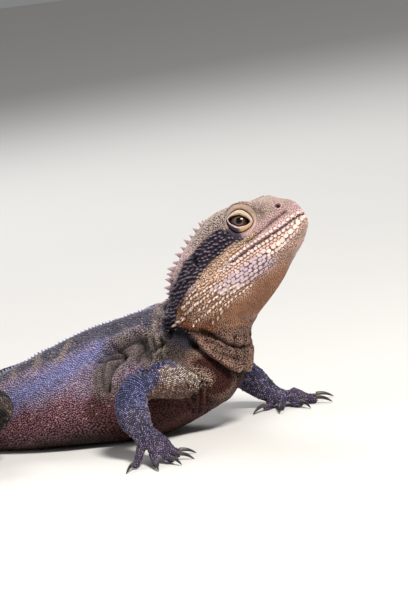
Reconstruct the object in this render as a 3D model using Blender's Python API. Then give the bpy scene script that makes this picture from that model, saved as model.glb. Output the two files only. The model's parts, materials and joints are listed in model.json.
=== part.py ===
"""An adult eastern water dragon, life size, resting on its belly with its head raised.

Lengths are written in millimetres and turned into metres by MM when points are made.
+X is the way the animal faces, +Y its left side, +Z up, and the floor is z = 0.
"""

import math
from bisect import bisect_right

import bmesh
import bpy
from mathutils import Matrix, Vector

MM = 0.001
GAP = 0.3  # kept between neighbouring pieces
SHARP_ANGLE = math.radians(50)
FLOOR = 0.0  # what would sink below this level is flattened onto it

# The head's own frame: its snout tip, and how it is pitched up, turned to the right and rolled
SNOUT = (63.76, -7.73, 103.5)
HEAD_PITCH, HEAD_YAW, HEAD_ROLL = 27.0, -8.0, 3.0
HEAD_STRAIGHT = 52.0

# Behind the head the body's own line is keyed by the distance s along it from the snout
AXIS_X = [(52, 18.7), (60, 12.2), (68, 7.0), (77, 3.0), (88.7, 0.7), (99.8, -9.0), (115.3, -23.0),
          (138.8, -45.5), (173.7, -80.0), (208.2, -114.0), (232.9, -138.5), (254.5, -160.0)]
AXIS_Y = [(52, -1.4), (60, -0.6), (70, 0)]
AXIS_Z = [(52, 80.35), (60, 75.7), (68, 69.0), (77, 60.0), (88.7, 48.5), (99.8, 43.0), (115.3, 36.5),
          (138.8, 29.8), (173.7, 24.4), (208.2, 18.6), (232.9, 15.8), (254.5, 13.8)]
PITCH = [(52, 27), (60, 34), (68, 44), (77, 55), (88.7, 48.3), (99.8, 40.8), (115.3, 32.7),
         (138.8, 24.8), (173.7, 17.5), (208.2, 11.4), (232.9, 5), (254.5, 0)]
YAW = [(52, -8), (90, -3), (105, 0)]
ROLL = [(52, 3), (90, 0)]
TAIL_START, TAIL_TIP = 254.5, 735.0
TAIL_YAW = [(254.5, 0), (320, 13), (420, 6), (540, -26), (735, -62)]  # bends left, then right
TAIL_STEP = 5.0

# Half heights above and below that line, half width, and where the widest level lies
RISE = [(0, 3.0), (0.6, 6.8), (1.9, 10.2), (5.8, 13.8), (10, 15.8), (16, 18.2), (22, 20.4), (28, 23.2),
        (37, 27.0), (42.4, 28.2), (48.5, 28.4), (55.4, 26.8), (61, 25.2), (68, 24.6), (77, 24.2),
        (88.7, 27.2), (99.8, 28.6), (115.3, 31.2), (138.8, 31.8), (173.7, 26.4), (208.2, 20.4),
        (232.9, 17.0), (254.5, 14.3)]
DROP = [(0, 0.6), (0.6, 2.6), (2, 4.6), (6.9, 7.0), (14.4, 11.0), (22, 13.9), (26.8, 16.6), (32, 19.8),
        (39.2, 22.8), (47.5, 25.0), (53.6, 26.2), (60, 26.0), (68, 24.6), (77, 22.2), (84, 25.0),
        (90, 25.8), (94.5, 24.8), (99.8, 30.0), (107, 32.4), (115.3, 32.2), (138.8, 33.0),
        (173.7, 27.0), (208.2, 21.0), (232.9, 17.6), (254.5, 14.3)]
HALF_WIDTH = [(60, 20.5), (70, 18.5), (77, 18.0), (88.7, 19.5), (99.8, 22.0), (115.3, 26.0),
              (138.8, 31.0), (173.7, 35.0), (208.2, 28.0), (232.9, 19.0), (254.5, 13.6)]
WIDEST_LEVEL = [(77, 0.0), (99.8, -0.05), (138.8, -0.25), (208.2, -0.3), (254.5, -0.1)]
ROOF_POWER = [(60, 2.2), (99.8, 1.9), (138.8, 1.65), (208.2, 1.7), (254.5, 1.8)]
BELLY_POWER = [(60, 2.0), (99.8, 2.1), (138.8, 2.5), (208.2, 2.6), (254.5, 2.2)]
TAIL_HALF_HEIGHT = [(254.5, 14.3), (285, 11.2), (330, 8.4), (400, 5.9), (500, 3.9), (620, 2.3), (735, 0.75)]
TAIL_HALF_WIDTH = [(254.5, 13.6), (285, 9.6), (330, 6.6), (400, 4.7), (500, 3.2), (620, 2.0), (735, 0.7)]

# The head's own section: brow, cheek, lip, jaw edge and throat, by distance from the snout
BROW_WIDTH = [(0, 0.6), (0.6, 2.0), (2, 3.8), (6, 6.0), (12, 8.8), (16, 11.0), (20, 12.8), (26, 13.6),
              (33, 13.4), (42, 13.6), (55, 15.0)]
BROW_RISE = [(0, 2.6), (0.6, 5.4), (2, 8.4), (6, 11.8), (12, 16.2), (16, 20.0), (20, 22.6), (25, 24.2),
             (30, 23.8), (37, 23.8), (45, 22.8), (55, 19.6)]
CHEEK_WIDTH = [(0, 0.7), (0.6, 2.2), (2, 4.4), (6, 7.2), (12, 9.9), (18, 12.4), (25, 14.4), (33, 16.0),
               (42, 18.4), (55, 21.0), (70, 21.0)]
CHEEK_RISE = [(0, 1.8), (0.6, 3.0), (2, 4.8), (6, 6.4), (12, 7.6), (18, 9.4), (25, 11.6), (33, 11.8),
              (42, 11.0), (55, 9.6), (70, 9.0)]
LIP_WIDTH = [(0, 0.8), (0.6, 2.2), (2, 4.2), (6, 7.6), (12, 11.2), (20, 14.6), (28, 16.8), (36, 18.8),
             (45, 21.0), (55, 22.6), (70, 22.8)]
LIP_RISE = [(0, 1.6), (3, 1.2), (8, 0.4), (14, 0.0), (30, -0.2), (38, -0.8), (60, -1.2)]
JAW_WIDTH = [(0, 0.6), (0.6, 1.8), (2, 3.6), (6, 6.6), (12, 10.0), (20, 13.6), (36, 18.0), (55, 21.4),
             (70, 22.4)]
JAW_DROP = [(0, 0.2), (0.6, 1.4), (2, 3.0), (6, 4.8), (12, 6.6), (20, 8.6), (36, 11.4), (55, 12.6),
            (70, 11.0)]
THROAT_WIDTH_SHARE, THROAT_DROP_SHARE = 0.62, 0.8
HEAD_TO_NECK = (62.0, 84.0)  # where the head's section turns into the body's

# The mouth
LIP_LINE_HALF, LIP_LINE_DEPTH = 0.65, 1.2
MOUTH_CORNER, MOUTH_FADE = 38.5, 4.0

# Cuts between the nodes along the body
HEAD_CUT, NECK_CUT, RUMP_CUT = 64.0, 93.0, 243.0
TAIL_CUTS = [243.0, 300.0, 368.0, 450.0, 560.0, TAIL_TIP]

# The eye, in the head's own frame: back from the snout, out from the middle, above the mouth
EYE_BACK, EYE_OUT, EYE_RISE = 25.6, 9.2, 14.7
EYE_RADIUS, LID_THICKNESS = 6.2, 1.4
EYE_TURN_FORWARD, EYE_TURN_UP = 15.0, 4.0
OPENING_HALF_WIDTH, OPENING_HALF_HEIGHT, OPENING_TILT = 5.6, 3.3, 34.0
NOSTRIL_BACK, NOSTRIL_SHARE, NOSTRIL_RADIUS = 4.2, 0.2, 1.0
EAR_BACK, EAR_SHARE, EAR_RADIUS, EAR_DEPTH = 53.5, 0.335, 3.6, 1.6

# Crests, thorns and the large scales that stand out on the jaw
CREST_HEIGHT = [(44, 0.8), (48, 1.6), (55, 3.2), (64, 4.2), (78, 4.2), (88, 3.0), (100, 1.8), (150, 1.5),
                (254, 1.5), (330, 1.8), (420, 1.2), (560, 0.6)]
NUCHAL_SPACING, DORSAL_SPACING, TAIL_SPACING = 3.8, 5.2, 8.5
CREST_LEAN, TAIL_CREST_LEAN, THORN_LEAN = 0.55, 1.0, 0.7
CREST_THICKNESS = 1.5
CREST_START, CREST_END = 46.0, 540.0
SPINE_ROOT = 0.45  # how deep a thorn's root is sunk, by its height
# Each row of thorns: its two ends as (s, share from ridge to belly), count, heights and widths at the ends
THORN_ROWS = [((9, 0.625), (58, 0.55), 11, (1.0, 1.5), (2.4, 3.2)),
              ((44, 0.66), (78, 0.60), 8, (1.2, 2.0), (2.8, 3.0)),
              ((50, 0.60), (83, 0.45), 8, (1.2, 3.2), (2.8, 3.2)),
              ((60, 0.49), (84, 0.385), 6, (1.4, 3.6), (2.6, 3.2)),
              ((40, 0.23), (60, 0.22), 5, (1.2, 1.8), (2.2, 2.4)),
              ((66, 0.17), (86, 0.15), 5, (2.0, 2.4), (2.2, 2.4)),
              ((66, 0.30), (88, 0.24), 5, (2.0, 2.4), (2.4, 2.6))]

# Limbs: x, y outwards, z, half width and half thickness, from the trunk to the palm or sole
NEAR_ARM = [(-5, 5, 28, 9, 9), (-8.5, 18, 30, 9.4, 10.0), (-13, 29, 32.5, 9.4, 9.8),
            (-17, 38.5, 34, 8.6, 9.0), (-21.5, 46.5, 33, 8.0, 8.0), (-23.5, 52.5, 27.5, 8.2, 7.6),
            (-21, 57, 20.5, 8.6, 8.0), (-18, 60.5, 17, 7.6, 6.8), (-14.6, 63, 13.8, 6.4, 5.2), (-12.2, 65, 12.2, 7.2, 4.4),
            (-9.8, 67.2, 10.4, 8.0, 3.6), (-8.0, 69.4, 8.6, 7.0, 2.8)]
FAR_ARM = [(-5, 5, 28, 9, 9), (-8, 17, 28.5, 9.4, 10.0), (-12, 28, 29, 9.4, 9.8), (-15, 38, 28.5, 8.6, 9.0),
           (-16, 46, 25.5, 8.0, 8.0), (-12.5, 51, 20.5, 8.2, 7.6), (-6, 52, 15.5, 8.4, 7.8),
           (0, 51.5, 10.2, 7.4, 6.6), (5, 51, 6.6, 6.4, 5.0), (8, 51, 5.4, 7.2, 4.2),
           (11, 51, 4.4, 8.0, 3.4), (13.6, 51, 3.6, 7.0, 2.6)]
NEAR_LEG = [(-140, 4, 20, 12, 13), (-136, 16, 21, 12.5, 13.5), (-124, 29, 24.5, 11.5, 12.5),
            (-108, 42, 29, 9.6, 10.5), (-97.5, 50.5, 29, 8.0, 8.2), (-99, 58, 24, 7.6, 7.6),
            (-109, 62.5, 19, 7.8, 7.8), (-121, 67, 13.5, 6.2, 6.2), (-130, 72, 9.2, 4.8, 4.6),
            (-133, 79, 6.4, 4.8, 4.2), (-128.5, 85, 5.0, 5.8, 3.8), (-120.5, 89, 4.0, 6.8, 3.2),
            (-112, 92.5, 3.2, 6.6, 2.6)]
FAR_LEG = [(-140, 4, 20, 12, 13), (-138, 16, 21, 12.5, 13.5), (-129, 30, 24, 11.5, 12.5),
           (-116, 44, 27.5, 9.6, 10.5), (-107, 53, 27.5, 8.0, 8.2), (-109, 60.5, 23, 7.6, 7.6),
           (-119, 65, 18, 7.8, 7.8), (-131, 69.5, 13, 6.2, 6.2), (-140, 74.5, 9.2, 4.8, 4.6),
           (-143, 81.5, 6.4, 4.8, 4.2), (-138.5, 87.5, 5.0, 5.8, 3.8), (-130.5, 91.5, 4.0, 6.8, 3.2),
           (-122, 95, 3.2, 6.6, 2.6)]
ELBOW, WRIST, KNEE, ANKLE = 4.5, 8, 4.4, 8.4
# Each digit: its way over the floor in degrees from +X towards the outside, and its length
NEAR_FINGERS = [(-32, 10.5), (8, 13.0), (36, 17.5), (60, 20.5), (92, 16.5)]
FAR_FINGERS = [(-112, 11.0), (-72, 13.5), (-36, 15.0), (-6, 17.0), (28, 14.5)]
TOES = [(-24, 12), (2, 19), (21, 27), (38, 36), (76, 22)]
FINGER_RADIUS, TOE_RADIUS = 2.2, 2.4
FINGER_ARCH, TOE_ARCH = 1.6, 1.2  # how high the first knuckle rises over the palm or sole
CLAW_LENGTH, CLAW_RADIUS, CLAW_ARCH = 8.0, 1.35, 0.9
CLAW_TIP = 0.25
LIMB_SIDES, DIGIT_SAMPLES = 10, 2
INNER_STEP = 0.25  # between sections on the inner side of a sharp bend

SKIN_COLOUR = (0.20, 0.165, 0.15)
PALE_COLOUR = (0.52, 0.40, 0.30)
BELLY_COLOUR = (0.30, 0.12, 0.085)
LIMB_COLOUR = (0.075, 0.072, 0.10)
CLAW_COLOUR = (0.10, 0.085, 0.08)
EYE_COLOUR = (0.09, 0.045, 0.02)


def keyed(keys, x):
    """The value at x on a smooth line through (x, value) keys that never overshoots them."""
    if x <= keys[0][0]:
        return keys[0][1]
    if x >= keys[-1][0]:
        return keys[-1][1]
    i = bisect_right([k[0] for k in keys], x) - 1

    def rise(j):
        return (keys[j + 1][1] - keys[j][1]) / (keys[j + 1][0] - keys[j][0])

    def slope(j):
        if j == 0 or j == len(keys) - 1:
            return rise(min(j, len(keys) - 2))
        before, after = rise(j - 1), rise(j)
        return 0.0 if before * after <= 0 else 2 * before * after / (before + after)

    span = keys[i + 1][0] - keys[i][0]
    t = (x - keys[i][0]) / span
    a, b = keys[i][1], keys[i + 1][1]
    return (a + (b - a) * t * t * (3 - 2 * t)
            + span * t * (1 - t) * (slope(i) * (1 - t) - slope(i + 1) * t))


def through(points, t):
    """A point on the Catmull-Rom line through points, t counting from 0 at the first."""
    last = len(points) - 1
    i = min(int(t), last - 1)
    u = t - i
    p = [points[max(0, min(last, i + k))] for k in (-1, 0, 1, 2)]
    return 0.5 * ((2 * p[1]) + (p[2] - p[0]) * u + (2 * p[0] - 5 * p[1] + 4 * p[2] - p[3]) * u * u
                  + (3 * p[1] - p[0] - 3 * p[2] + p[3]) * u ** 3)


def eased(edge0, edge1, x):
    t = min(1.0, max(0.0, (x - edge0) / (edge1 - edge0)))
    return t * t * (3 - 2 * t)


def tail_line():
    """Keys of the tail's x and y by s, following its yaw in small steps."""
    x, y, s = keyed(AXIS_X, TAIL_START), 0.0, TAIL_START
    line_x, line_y = [(s, x)], [(s, y)]
    while s < TAIL_TIP:
        yaw = math.radians(keyed(TAIL_YAW, s + TAIL_STEP / 2))
        x, y, s = x - math.cos(yaw) * TAIL_STEP, y + math.sin(yaw) * TAIL_STEP, s + TAIL_STEP
        line_x.append((s, x))
        line_y.append((s, y))
    return line_x, line_y


TAIL_X, TAIL_Y = tail_line()


def facing(yaw, pitch, roll):
    """Forward, left and up for a yaw to the left, a pitch up and a roll, in degrees."""
    turn = (Matrix.Rotation(math.radians(yaw), 3, "Z") @ Matrix.Rotation(-math.radians(pitch), 3, "Y")
            @ Matrix.Rotation(-math.radians(roll), 3, "X"))
    return turn.col[0], turn.col[1], turn.col[2]


def head_point(back, out, rise):
    """A point in the head's own frame: back from the snout, out to the left, up from the mouth."""
    forward, left, up = facing(HEAD_YAW, HEAD_PITCH, HEAD_ROLL)
    return Vector(SNOUT) - forward * back + left * out + up * rise


def head_way(forward, out, up):
    return (head_point(-forward, out, up) - head_point(0, 0, 0)).normalized()


def section_frame(s):
    """Centre, forward, left and up of the body's section at s."""
    if s <= HEAD_STRAIGHT:
        return head_point(s, 0, 0), *facing(HEAD_YAW, HEAD_PITCH, HEAD_ROLL)
    if s <= TAIL_START:
        centre = Vector((keyed(AXIS_X, s), keyed(AXIS_Y, s), keyed(AXIS_Z, s)))
        return centre, *facing(keyed(YAW, s), keyed(PITCH, s), keyed(ROLL, s))
    yaw = keyed(TAIL_YAW, s)
    centre = Vector((keyed(TAIL_X, s), keyed(TAIL_Y, s), keyed(TAIL_HALF_HEIGHT, s) - GAP))
    return centre, *facing(-yaw, 0, 0)


def body_outline(s):
    """Seven (width, height) points of the section's half, from the back's ridge to the belly."""
    if s > TAIL_START:
        rise = drop = keyed(TAIL_HALF_HEIGHT, s)
        width = keyed(TAIL_HALF_WIDTH, s)
    else:
        rise, drop, width = keyed(RISE, s), keyed(DROP, s), keyed(HALF_WIDTH, s)
    level = keyed(WIDEST_LEVEL, s) * (rise + drop) / 2
    points = []
    for k in range(7):
        angle = math.pi / 2 - k * math.pi / 6
        power = 2 / keyed(ROOF_POWER if k < 3 else BELLY_POWER, s)
        tall = rise - level if k < 3 else drop + level
        side, height = math.cos(angle), math.sin(angle)
        points.append(Vector((width * abs(side) ** power if k % 6 else 0.0,
                              level + math.copysign(tall * abs(height) ** power, height))))
    return points


def head_outline(s):
    lip_drop = keyed(DROP, s)
    jaw = keyed(JAW_WIDTH, s)
    return [Vector((0, keyed(RISE, s))),
            Vector((keyed(BROW_WIDTH, s), keyed(BROW_RISE, s))),
            Vector((keyed(CHEEK_WIDTH, s), keyed(CHEEK_RISE, s))),
            Vector((keyed(LIP_WIDTH, s), keyed(LIP_RISE, s))),
            Vector((jaw, -keyed(JAW_DROP, s))),
            Vector((jaw * THROAT_WIDTH_SHARE, -max(lip_drop * THROAT_DROP_SHARE, keyed(JAW_DROP, s)))),
            Vector((0, -lip_drop))]


def outline(s):
    mix = eased(*HEAD_TO_NECK, s)
    if mix == 0:
        return head_outline(s)
    if mix == 1:
        return body_outline(s)
    return [a.lerp(b, mix) for a, b in zip(head_outline(s), body_outline(s))]


def half_section(s, steps, with_mouth):
    """The section's half as (width, height) points, with the mouth's line pressed in if asked."""
    keys = outline(s)
    keys = [Vector((-keys[1].x, keys[1].y))] + keys + [Vector((-keys[5].x, keys[5].y))]
    points = [through(keys, 1 + t) for t in steps]
    if with_mouth:
        at = steps.index(3)
        lip = points[at]
        deep = LIP_LINE_DEPTH * (1 - eased(MOUTH_CORNER - MOUTH_FADE, MOUTH_CORNER, s))
        deep = min(deep, lip.x * 0.3)
        for k in (at - 1, at + 1):
            away = points[k] - lip
            points[k] = lip + away * min(1.0, LIP_LINE_HALF / max(away.length, 1e-6))
        points[at] = Vector((lip.x - deep, lip.y))
    points[0].x = points[-1].x = 0.0
    return points


def section_ring(s, steps, with_mouth=False, shift=0.0):
    centre, forward, left, up = section_frame(s)
    half = half_section(s, steps, with_mouth)
    ring = half + [Vector((-p.x, p.y)) for p in reversed(half[1:-1])]
    points = [centre + forward * shift - left * p.x + up * p.y for p in ring]
    for p in points:
        p.z = max(p.z, FLOOR)
    return points


def mesh_object(name, bm):
    bm.normal_update()
    bmesh.ops.recalc_face_normals(bm, faces=bm.faces)
    mesh = bpy.data.meshes.new(name)
    bm.to_mesh(mesh)
    bm.free()
    mesh.transform(Matrix.Scale(MM, 4))
    mesh.shade_smooth()
    mesh.set_sharp_from_angle(angle=SHARP_ANGLE)
    made = bpy.data.objects.new(name, mesh)
    bpy.context.scene.collection.objects.link(made)
    return made


def loft(name, rings):
    """A closed skin over rings of the same count, each end closed by one face."""
    bm = bmesh.new()
    rows = [[bm.verts.new(p) for p in ring] for ring in rings]
    for before, after in zip(rows, rows[1:]):
        for k in range(len(before)):
            n = (k + 1) % len(before)
            bm.faces.new((before[k], before[n], after[n], after[k]))
    bm.faces.new(list(reversed(rows[0])))
    bm.faces.new(rows[-1])
    bmesh.ops.triangulate(bm, faces=bm.faces)
    return mesh_object(name, bm)


def body_piece(name, first, last, spacing, steps, with_mouth=False, extra=()):
    """A length of the body between two cuts, drawn back from each by half the gap."""
    count = max(2, round((last - first) / spacing))
    places = sorted({first + (last - first) * k / count for k in range(count + 1)} | set(extra))
    rings = []
    for s in places:
        shift = -GAP / 2 if s == first and first > 0 else GAP / 2 if s == last and last < TAIL_TIP else 0.0
        rings.append(section_ring(s, steps, with_mouth, shift))
    return loft(name, rings)


def curve_tube(name, points, radii):
    """A round, tapering tube through points, from a curve with a bevel, as a closed mesh."""
    data = bpy.data.curves.new(name, "CURVE")
    data.dimensions = "3D"
    data.bevel_depth = MM
    data.bevel_resolution = 1
    data.use_fill_caps = True
    count = (len(points) - 1) * DIGIT_SAMPLES + 1
    spline = data.splines.new("POLY")
    spline.points.add(count - 1)
    tops = [Vector((r, 0)) for r in radii]
    for k, point in enumerate(spline.points):
        t = (len(points) - 1) * k / (count - 1)
        point.co = (*(through([Vector(p) for p in points], t) * MM), 1)
        point.radius = max(through(tops, t).x, 0.12)
    holder = bpy.data.objects.new(name, data)
    bpy.context.scene.collection.objects.link(holder)
    bpy.context.view_layer.update()
    mesh = bpy.data.meshes.new_from_object(holder.evaluated_get(bpy.context.evaluated_depsgraph_get()))
    bpy.data.objects.remove(holder)
    bm = bmesh.new()
    bm.from_mesh(mesh)
    bpy.data.meshes.remove(mesh)
    bmesh.ops.remove_doubles(bm, verts=bm.verts, dist=0.00001)
    for v in bm.verts:
        v.co.z = max(v.co.z, FLOOR * MM)
        v.co /= MM
    return mesh_object(name, bm)


def spine(at, along, out, length, width, height, lean):
    """A flattened, leaning thorn: length along the row, width across it, height out of the skin."""
    along, out = Vector(along).normalized(), Vector(out).normalized()
    across = out.cross(along).normalized()
    bm = bmesh.new()
    bmesh.ops.create_cone(bm, cap_ends=True, segments=5, radius1=0.5, radius2=0.04, depth=1.0)
    for v in bm.verts:
        up = v.co.z + 0.5
        v.co = (Vector(at) + along * (v.co.x * length + lean * height * up ** 1.5)
                + across * v.co.y * width + out * height * (up * (1 + SPINE_ROOT) - SPINE_ROOT))
    return mesh_object("spine", bm)


def ball(centre, radii, axes, segments, rings):
    """An ellipsoid with its three radii along the given axes."""
    bm = bmesh.new()
    bmesh.ops.create_uvsphere(bm, u_segments=segments, v_segments=rings, radius=1.0)
    for v in bm.verts:
        v.co = Vector(centre) + sum((a * r * c for a, r, c in zip(axes, radii, v.co)), Vector())
    return mesh_object("ball", bm)


def combine(target, others, operation):
    """Applies one Boolean of the other objects to the target, then removes them."""
    group = bpy.data.collections.new("tools")
    bpy.context.scene.collection.children.link(group)
    for other in others:
        bpy.context.scene.collection.objects.unlink(other)
        group.objects.link(other)
    modifier = target.modifiers.new("combine", "BOOLEAN")
    modifier.operation = operation
    modifier.operand_type = "COLLECTION"
    modifier.collection = group
    modifier.solver = "MANIFOLD"
    bpy.context.view_layer.update()
    mesh = bpy.data.meshes.new_from_object(target.evaluated_get(bpy.context.evaluated_depsgraph_get()))
    target.modifiers.clear()
    old = target.data
    target.data = mesh
    bpy.data.meshes.remove(old)
    for other in others:
        bpy.data.objects.remove(other)
    bpy.data.collections.remove(group)
    keep_largest(target)
    return target


def keep_largest(target):
    """Leaves only the piece with the most room inside, so no loose scrap stays."""
    bm = bmesh.new()
    bm.from_mesh(target.data)
    left, pieces = set(bm.verts), []
    while left:
        todo, piece = [left.pop()], set()
        while todo:
            v = todo.pop()
            piece.add(v)
            for e in v.link_edges:
                other = e.other_vert(v)
                if other in left:
                    left.discard(other)
                    todo.append(other)
        pieces.append(piece)
    if len(pieces) > 1:
        best = max(pieces, key=lambda p: (max(v.co.z for v in p) - min(v.co.z for v in p))
                   * (max(v.co.x for v in p) - min(v.co.x for v in p)) * len(p) ** 0.01)
        bmesh.ops.delete(bm, geom=[v for p in pieces if p is not best for v in p], context="VERTS")
        bm.to_mesh(target.data)
    bm.free()


def grown(source, by):
    """A copy of a solid with its skin moved out, used to cut its neighbours clear of it."""
    copy = source.copy()
    copy.data = source.data.copy()
    bpy.context.scene.collection.objects.link(copy)
    bm = bmesh.new()
    bm.from_mesh(copy.data)
    bm.normal_update()
    for v, normal in [(v, v.normal.copy()) for v in bm.verts]:
        v.co += normal * by * MM
    bm.to_mesh(copy.data)
    bm.free()
    return copy


def material(name, colour, roughness, metallic=0.0):
    made = bpy.data.materials.new(name)
    made.use_nodes = True
    shader = made.node_tree.nodes["Principled BSDF"]
    shader.inputs["Base Color"].default_value = (*colour, 1)
    shader.inputs["Roughness"].default_value = roughness
    shader.inputs["Metallic"].default_value = metallic
    return made


def skin_out(s, share, side=1):
    """A point on the body's skin on one side and the way out of it, share 0 at the ridge, 1 below."""
    centre, forward, left, up = section_frame(s)
    keys = outline(s)
    keys = [Vector((-keys[1].x, keys[1].y))] + keys + [Vector((-keys[5].x, keys[5].y))]
    p, q = through(keys, 1 + share * 6), through(keys, 1 + min(6, share * 6 + 0.05))
    along = q - p
    normal = Vector((-along.y, along.x)) if along.length else Vector((0, 1))
    normal = -normal if normal.dot(p) < 0 else normal
    return centre + left * p.x * side + up * p.y, (left * normal.x * side + up * normal.y).normalized()


def ridge_places(first, last, spacing):
    """Values of s a set distance apart along the ridge of the back, between two cuts."""
    places, s, gone = [], first, spacing / 2
    before = skin_out(s, 0)[0]
    while s < last:
        s += 0.25
        here = skin_out(s, 0)[0]
        gone += (here - before).length
        before = here
        if gone >= spacing and s < last:
            places.append(s)
            gone -= spacing
    return places


def crest(first, last, spacing, height_keys, lean):
    """A row of flattened thorns along the ridge, pointing out and back."""
    made = []
    for s in ridge_places(first, last, spacing):
        at, out = skin_out(s, 0)
        ahead, back = skin_out(s - 0.5, 0)[0], skin_out(s + 0.5, 0)[0]
        height = keyed(height_keys, s)
        along = (back - ahead).normalized()
        out = (out - along * out.dot(along)).normalized()
        length = min(spacing * 0.8, height * 1.3)
        made.append(spine(at, along, out, length, CREST_THICKNESS, height, lean))
    return made


def thorns(side, first, last):
    """The thorns on one side that lie clear between two cuts."""
    made = []
    for s, share, height, width in thorn_places():
        if first + width < s < last - width / 2 - THORN_LEAN * height:
            at, out = skin_out(s, share, side)
            back = (skin_out(s + 1.5, share, side)[0] - at).normalized()
            made.append(spine(at, back, out, width, width * 0.8, height, THORN_LEAN))
    return made


def thorn_places():
    """Each thorn of every row as (s, share, height, width)."""
    places = []
    for first, last, count, heights, widths in THORN_ROWS:
        for k in range(count):
            t = k / (count - 1)
            ends = zip((*first, heights[0], widths[0]), (*last, heights[1], widths[1]))
            places.append(tuple(a + (b - a) * t for a, b in ends))
    return places


def outward(stations, side):
    """Stations with their distance outwards turned into y on the given side."""
    return [(x, side * y, z, *sizes) for x, y, z, *sizes in stations]


def limb_piece(name, stations, first, last, spacing):
    """The length of a limb between two of its stations, drawn in by half the gap at each cut.

    In a sharp bend the inner side of a section is held clear of the cut, and of the section before.
    """
    points = [Vector(st[:3]) for st in stations]
    sizes = [Vector(st[3:]) for st in stations]
    end = len(points) - 1
    count = max(2, round((through(points, last) - through(points, first)).length / spacing))
    places = [first + (last - first) * k / count for k in range(count + 1)]
    ways = [(through(points, min(t + 0.05, end)) - through(points, max(t - 0.05, 0))).normalized()
            for t in places]
    start = through(points, first) + ways[0] * (GAP / 2)
    stop = through(points, last) - ways[-1] * (GAP / 2)
    rings = []
    for k, (t, ahead) in enumerate(zip(places, ways)):
        flat = Vector((0, 0, 1)).cross(ahead).normalized()
        over = ahead.cross(flat)
        size = through(sizes, t)
        at = start if k == 0 else stop if k == count else through(points, t)
        ring = []
        for j in range(LIMB_SIDES):
            angle = 2 * math.pi * j / LIMB_SIDES
            p = at + flat * size.x * math.cos(angle) + over * size.y * math.sin(angle)
            p += ways[0] * max(0.0, k * INNER_STEP - (p - start).dot(ways[0]))
            p -= ways[-1] * max(0.0, (count - k) * INNER_STEP + (p - stop).dot(ways[-1]))
            p.z = max(p.z, FLOOR)
            ring.append(p)
        rings.append(ring)
    return loft(name, rings)


def digit(palm, way, length, radius, side, arch):
    """Points and radii of one digit from inside the palm to its claw's root, which rests on the floor."""
    angle = math.radians(way)
    over = Vector((math.cos(angle), side * math.sin(angle), 0))
    root = palm + over * 3.0
    points = [palm + over * 0.5, root + over * length * 0.22 + Vector((0, 0, arch)),
              root + over * length * 0.62 + Vector((0, 0, arch * 0.1)), root + over * length]
    points[2].z = max(points[2].z * 0.4, radius)
    points[3].z = radius * 0.8
    return points, [radius * 1.15, radius * 1.12, radius * 0.95, radius * 0.78], over


def hand(name, stations, start_at, digits, radius, side, arch):
    """A palm or sole with its digits, and a claw before each digit's end."""
    node = limb_piece(name, stations, start_at, len(stations) - 1, 2.4)
    palm = Vector(stations[-2][:3])
    grown_on, claws = [], []
    for k, (way, length) in enumerate(digits):
        points, radii, over = digit(palm, way, length, radius, side, arch)
        grown_on.append(curve_tube("digit", points, radii))
        ahead = (through(points, 3) - through(points, 3 - 1 / DIGIT_SAMPLES)).normalized()
        start = points[3] + ahead * GAP * 1.8
        tip = Vector((start.x, start.y, CLAW_TIP)) + over * CLAW_LENGTH
        first = (ahead + (tip - start).normalized()).normalized()
        claw = [start, start + first * CLAW_LENGTH * 0.25 + Vector((0, 0, CLAW_ARCH * 0.4)),
                start.lerp(tip, 0.62) + Vector((0, 0, CLAW_ARCH * 0.6)), tip]
        radii = [CLAW_RADIUS, CLAW_RADIUS * 0.9, CLAW_RADIUS * 0.6, CLAW_TIP]
        claws.append(curve_tube(f"claw_{name}_{k + 1}", claw, radii))
    combine(node, grown_on, "UNION")
    return node, claws


def finish_node(node, skin):
    node.data.materials.clear()
    node.data.materials.append(skin)
    node.data.shade_smooth()
    node.data.set_sharp_from_angle(angle=SHARP_ANGLE)


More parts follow.
